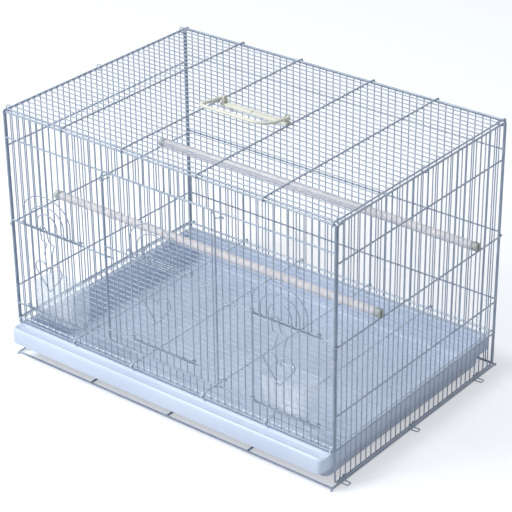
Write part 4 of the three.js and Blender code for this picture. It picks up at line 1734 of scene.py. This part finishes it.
@dataclass
class Handle:
    """The carrying handle: a strip with two lugs and two clips, and a folding bail."""

    gauges: Gauges
    material: bpy.types.Material
    span: float = 114.0
    strip: float = 4.0
    strip_drop: float = 6.5
    strip_edge: float = 1.4
    nub: float = 2.2
    nub_rise: float = 2.4
    nub_inset: float = 2.6
    nub_shift: float = 4.0
    lug: float = 4.0
    lug_radius: float = 5.0
    eye: float = 3.6
    eye_wall: float = 1.5
    cheeks: tuple[float, float] = (2.4, 4.9)
    clip_spread: float = 80.0
    clip_half: float = 3.0
    clip_reach: float = 5.0
    clip_hook: float = 6.2
    clip_wall: float = 2.0
    overlap: float = 1.0
    bail_width: float = 5.0
    bail_radius: float = 3.3
    reach: float = 58.0
    left_corner: float = 11.0
    right_corner: float = 28.0
    flatness: float = 0.72
    tilt: float = 8.0
    pin: float = 2.0
    pin_reach: float = 4.3
    knuckle: float = 4.0

    @property
    def pivot(self) -> Vector:
        """Middle of the two pivots."""
        low, high = frame_box("handle_base")
        return Vector(((low.x + high.x) / 2, (low.y + high.y) / 2, high.z - self.lug_radius))

    def base(self) -> None:
        """The strip, its nub, its lugs and the clips under it."""
        low, high = frame_box("handle_base")
        form, pivot = Form(sides=20), self.pivot
        top = pivot.z - self.strip_drop
        bottom = top - self.strip
        ends = (Vector((low.x, low.y, bottom)), Vector((high.x, high.y, top)))
        form.block(*ends, self.strip_edge, segments=3)
        nub = Vector((pivot.x - self.nub_shift, low.y + self.nub_inset, top))
        form.straight(nub - AXIS_Z * self.overlap, nub + AXIS_Z * self.nub_rise, self.nub)
        hooks = (
            (self.clip_reach, bottom + self.overlap),
            (self.clip_hook, low.z + self.clip_wall),
        )
        for hand in Hand:
            x = pivot.x + hand.value * self.span / 2
            form.ring(Vector((x, pivot.y, pivot.z)), AXIS_X, self.eye, self.eye_wall)
            clip = pivot.x + hand.value * self.clip_spread / 2
            for side in Side:
                heights = (top - self.overlap, pivot.z)
                self.upstand(form, x, self.lug / 2, side, self.cheeks, heights)
                for reach, height in hooks:
                    depths = (self.clip_reach - self.clip_wall, reach)
                    self.upstand(form, clip, self.clip_half, side, depths, (low.z, height))
        form.finish(
            "handle_base_moulding", Body.CAGE, Slot.HANDLE, self.material, ["handle_base"],
            sharp=50,
        )

    def upstand(
        self, form: Form, x: float, half: float, side: Side,
        depths: tuple[float, float], heights: tuple[float, float],
    ) -> None:
        """One upright wall of a lug or a clip, before or behind the pivots.

        Args:
            form: the strip's form.
            x: its middle.
            half: half its width.
            side: before or behind the pivots.
            depths: its faces, away from the pivots.
            heights: its bottom and top.
        """
        near, far = sorted(side.value * depth for depth in depths)
        y = self.pivot.y
        form.block(
            Vector((x - half, y + near, heights[0])), Vector((x + half, y + far, heights[1]))
        )

    def bail(self) -> None:
        """The bail: a flattened bar whose ends sweep back to the pivots, with its two pins."""
        form, pivot = Form(sides=16), self.pivot
        inner = self.span / 2 + self.lug / 2 + self.gauges.gap
        outer, arm = inner + self.bail_width, inner + self.bail_width / 2
        front = self.bail_radius - self.reach
        left = [Vector((-arm, 0, 0)), Vector((-arm, front, 0)), Vector((0, front, 0))]
        right = [Vector((0, front, 0)), Vector((arm, front, 0)), Vector((arm, 0, 0))]
        line = fillet(left, self.left_corner, steps=8)
        line += fillet(right, self.right_corner, steps=12)[1:]
        form.bent(line, self.bail_radius)
        flat = Matrix.Diagonal((1, 1, self.flatness, 1))
        tilt = Matrix.Translation(pivot) @ Matrix.Rotation(math.radians(-self.tilt), 4, "X")
        bmesh.ops.transform(form.gathered, verts=form.gathered.verts, matrix=tilt @ flat)
        for hand in Hand:
            way = AXIS_X * hand.value
            pin_start, pin_end = inner - self.pin_reach, arm + self.overlap
            form.straight(pivot + way * pin_start, pivot + way * pin_end, self.pin)
            form.straight(pivot + way * inner, pivot + way * outer, self.knuckle)
        form.finish(
            "handle_bail_grip", Body.BAIL, Slot.HANDLE, self.material, ["handle_bail"], sharp=50
        )

    def build(self) -> None:
        """Builds the handle."""
        self.base()
        self.bail()


# ---------------------------------------------------------------- studio


@dataclass(frozen=True)
class Studio:
    """Camera, floor, background and lamp."""

    camera_place: tuple[float, float, float] = (1623.4, -2006.85, 1563.1)
    azimuth: float = 38.793
    elevation: float = 28.044
    roll: float = -0.630
    lens: float = 134.756
    sensor: float = 36.0
    clip: tuple[float, float] = (50.0, 60000.0)
    floor_size: float = 50000.0
    floor_card: Colour = (0.74, 0.77, 0.82)
    floor_light: float = 0.10
    floor_glow: float = 4.6
    sky_tint: Colour = (0.93, 0.96, 1.0)
    sky: float = 0.46
    lamp_place: tuple[float, float, float] = (-1300.0, -2000.0, 2900.0)
    lamp_aim: tuple[float, float, float] = (0.0, 0.0, 200.0)
    lamp_size: float = 1400.0
    lamp_watts: float = 104.0

    def camera(self) -> None:
        """The camera at the photograph's viewing angle."""
        data = bpy.data.cameras.new("camera")
        data.lens, data.sensor_width = self.lens, self.sensor
        data.clip_start, data.clip_end = (distance * MM for distance in self.clip)
        azimuth, elevation = math.radians(self.azimuth), math.radians(self.elevation)
        level_x, level_y = math.sin(azimuth), -math.cos(azimuth)
        flat = math.cos(elevation)
        back = Vector((level_x * flat, level_y * flat, math.sin(elevation)))
        right = AXIS_Z.cross(back).normalized()
        up = back.cross(right)
        turn = Matrix((right, up, back)).transposed()
        roll = Matrix.Rotation(math.radians(self.roll), 3, "Z")
        camera = self.hang("camera", data, self.camera_place, turn @ roll)
        bpy.context.scene.camera = camera

    @staticmethod
    def hang(name: str, data: bpy.types.ID, place: Sequence[float], turn: Matrix) -> bpy.types.Object:
        """Puts a camera or a lamp in its place.

        Args:
            name: the object's name.
            data: the camera or lamp.
            place: where it goes, in millimetres.
            turn: its rotation.

        Returns:
            The object.
        """
        thing = bpy.data.objects.new(name, data)
        thing.matrix_world = Matrix.Translation(Vector(place) * MM) @ turn.to_4x4()
        bpy.context.scene.collection.objects.link(thing)
        return thing

    @staticmethod
    def seen_directly(graph: Graph) -> Value:
        """Whether the camera, a reflection or a clear part looks at the surface.

        Args:
            graph: the tree that asks.

        Returns:
            1 where one of them does, otherwise 0.
        """
        path = graph.add("ShaderNodeLightPath").outputs
        camera, glossy, clear = (
            Value(graph, path[f"Is {ray} Ray"]) for ray in ("Camera", "Glossy", "Transmission")
        )
        return camera.at_least(glossy).at_least(clear)

    def floor(self) -> None:
        """A plain white floor that keeps the cage's shadow."""
        part = bmesh.new()
        bmesh.ops.create_grid(part, x_segments=1, y_segments=1, size=self.floor_size * MM / 2)
        mesh = bpy.data.meshes.new("floor")
        part.to_mesh(mesh)
        part.free()
        graph = Graph(bpy.data.materials.new("floor"))
        card = graph.shader("ShaderNodeBsdfDiffuse", {"Color": (*self.floor_card, 1.0)})
        glow = graph.shader("ShaderNodeEmission", {"Color": WHITE, "Strength": self.floor_glow})
        share = self.seen_directly(graph) * self.floor_light
        mesh.materials.append(graph.ended(graph.mixed(share, card, glow)))
        floor = bpy.data.objects.new("floor", mesh)
        bpy.context.scene.collection.objects.link(floor)
        floor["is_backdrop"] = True

    def world(self) -> None:
        """A white background that lights the cage with a softer light of its own."""
        world = bpy.data.worlds.new("studio")
        bpy.context.scene.world = world
        graph = Graph(world)
        seen = self.seen_directly(graph)
        sky = {"Color": (*self.sky_tint, 1.0), "Strength": self.sky}
        soft = graph.shader("ShaderNodeBackground", sky)
        white = graph.shader("ShaderNodeBackground", {"Color": WHITE, "Strength": 1.0})
        graph.ended(graph.mixed(seen, soft, white))

    def lamp(self) -> None:
        """One large soft box."""
        data = bpy.data.lights.new("key", "AREA")
        data.shape, data.size, data.energy = "SQUARE", self.lamp_size * MM, self.lamp_watts
        way = Vector(self.lamp_aim) - Vector(self.lamp_place)
        self.hang("key", data, self.lamp_place, way.to_track_quat("-Z", "Y").to_matrix())

    def build(self) -> None:
        """Builds the studio."""
        self.camera()
        self.floor()
        self.world()
        self.lamp()
        bpy.context.scene.view_settings.view_transform = "Standard"


# ---------------------------------------------------------------- assembly


def clear_start_scene() -> None:
    """Removes whatever the start file holds besides the frame."""
    kept = set(frame["nodes"].values()) | set(frame["bodies"].values())
    for thing in list(bpy.data.objects):
        if thing not in kept:
            bpy.data.objects.remove(thing)


def corners(box: tuple[Vector, Vector]) -> list[list[float]]:
    """A box as plain lists."""
    return [[round(number, 6) for number in corner] for corner in box]


def main() -> None:
    """Builds the cage and its studio, and reports each piece."""
    logging.basicConfig(level=logging.INFO, format="%(name)s: %(message)s")
    clear_start_scene()
    cad_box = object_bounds()
    gauges = Gauges()
    layout = Layout.read(gauges)
    wire = CoatedWire().material()
    # the grate's wires are the same coated wire, painted lighter to stand in for the light on their
    # tops
    grate = CoatedWire("grate_wire_painted_lit", (0.60, 0.68, 0.79), (0.70, 0.78, 0.88)).material()
    tray = MouldedPlastic("tray", (0.62, 0.70, 0.85), (0.67, 0.75, 0.89), 0.28, 120).material()
    handle = MouldedPlastic(
        "handle", (0.70, 0.71, 0.62), (0.77, 0.78, 0.69), 0.35, 12,
        skin=0.8, skin_depth=0.05, scuffs=0.6,
    ).material()
    perch = MouldedPlastic(
        "perch", (0.72, 0.70, 0.73), (0.82, 0.79, 0.80), 0.5, 16,
        skin=0.9, skin_depth=0.08, scuffs=0.3,
    ).material()
    cap = MouldedPlastic(
        "perch_cap", (0.44, 0.49, 0.46), (0.54, 0.58, 0.55), 0.5, 8,
        skin=0.8, skin_depth=0.05,
    ).material()
    Wirework(layout, gauges, wire, grate).build()
    Doors(layout, gauges, wire).build()
    Tray(layout, tray).build()
    Perches(perch, cap).build()
    Cups(layout, ClearPlastic().material()).build()
    Handle(gauges, handle).build()
    Studio().build()
    {"cad": corners(cad_box), "visual": corners(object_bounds())}


if __name__ == "__main__":
    main()
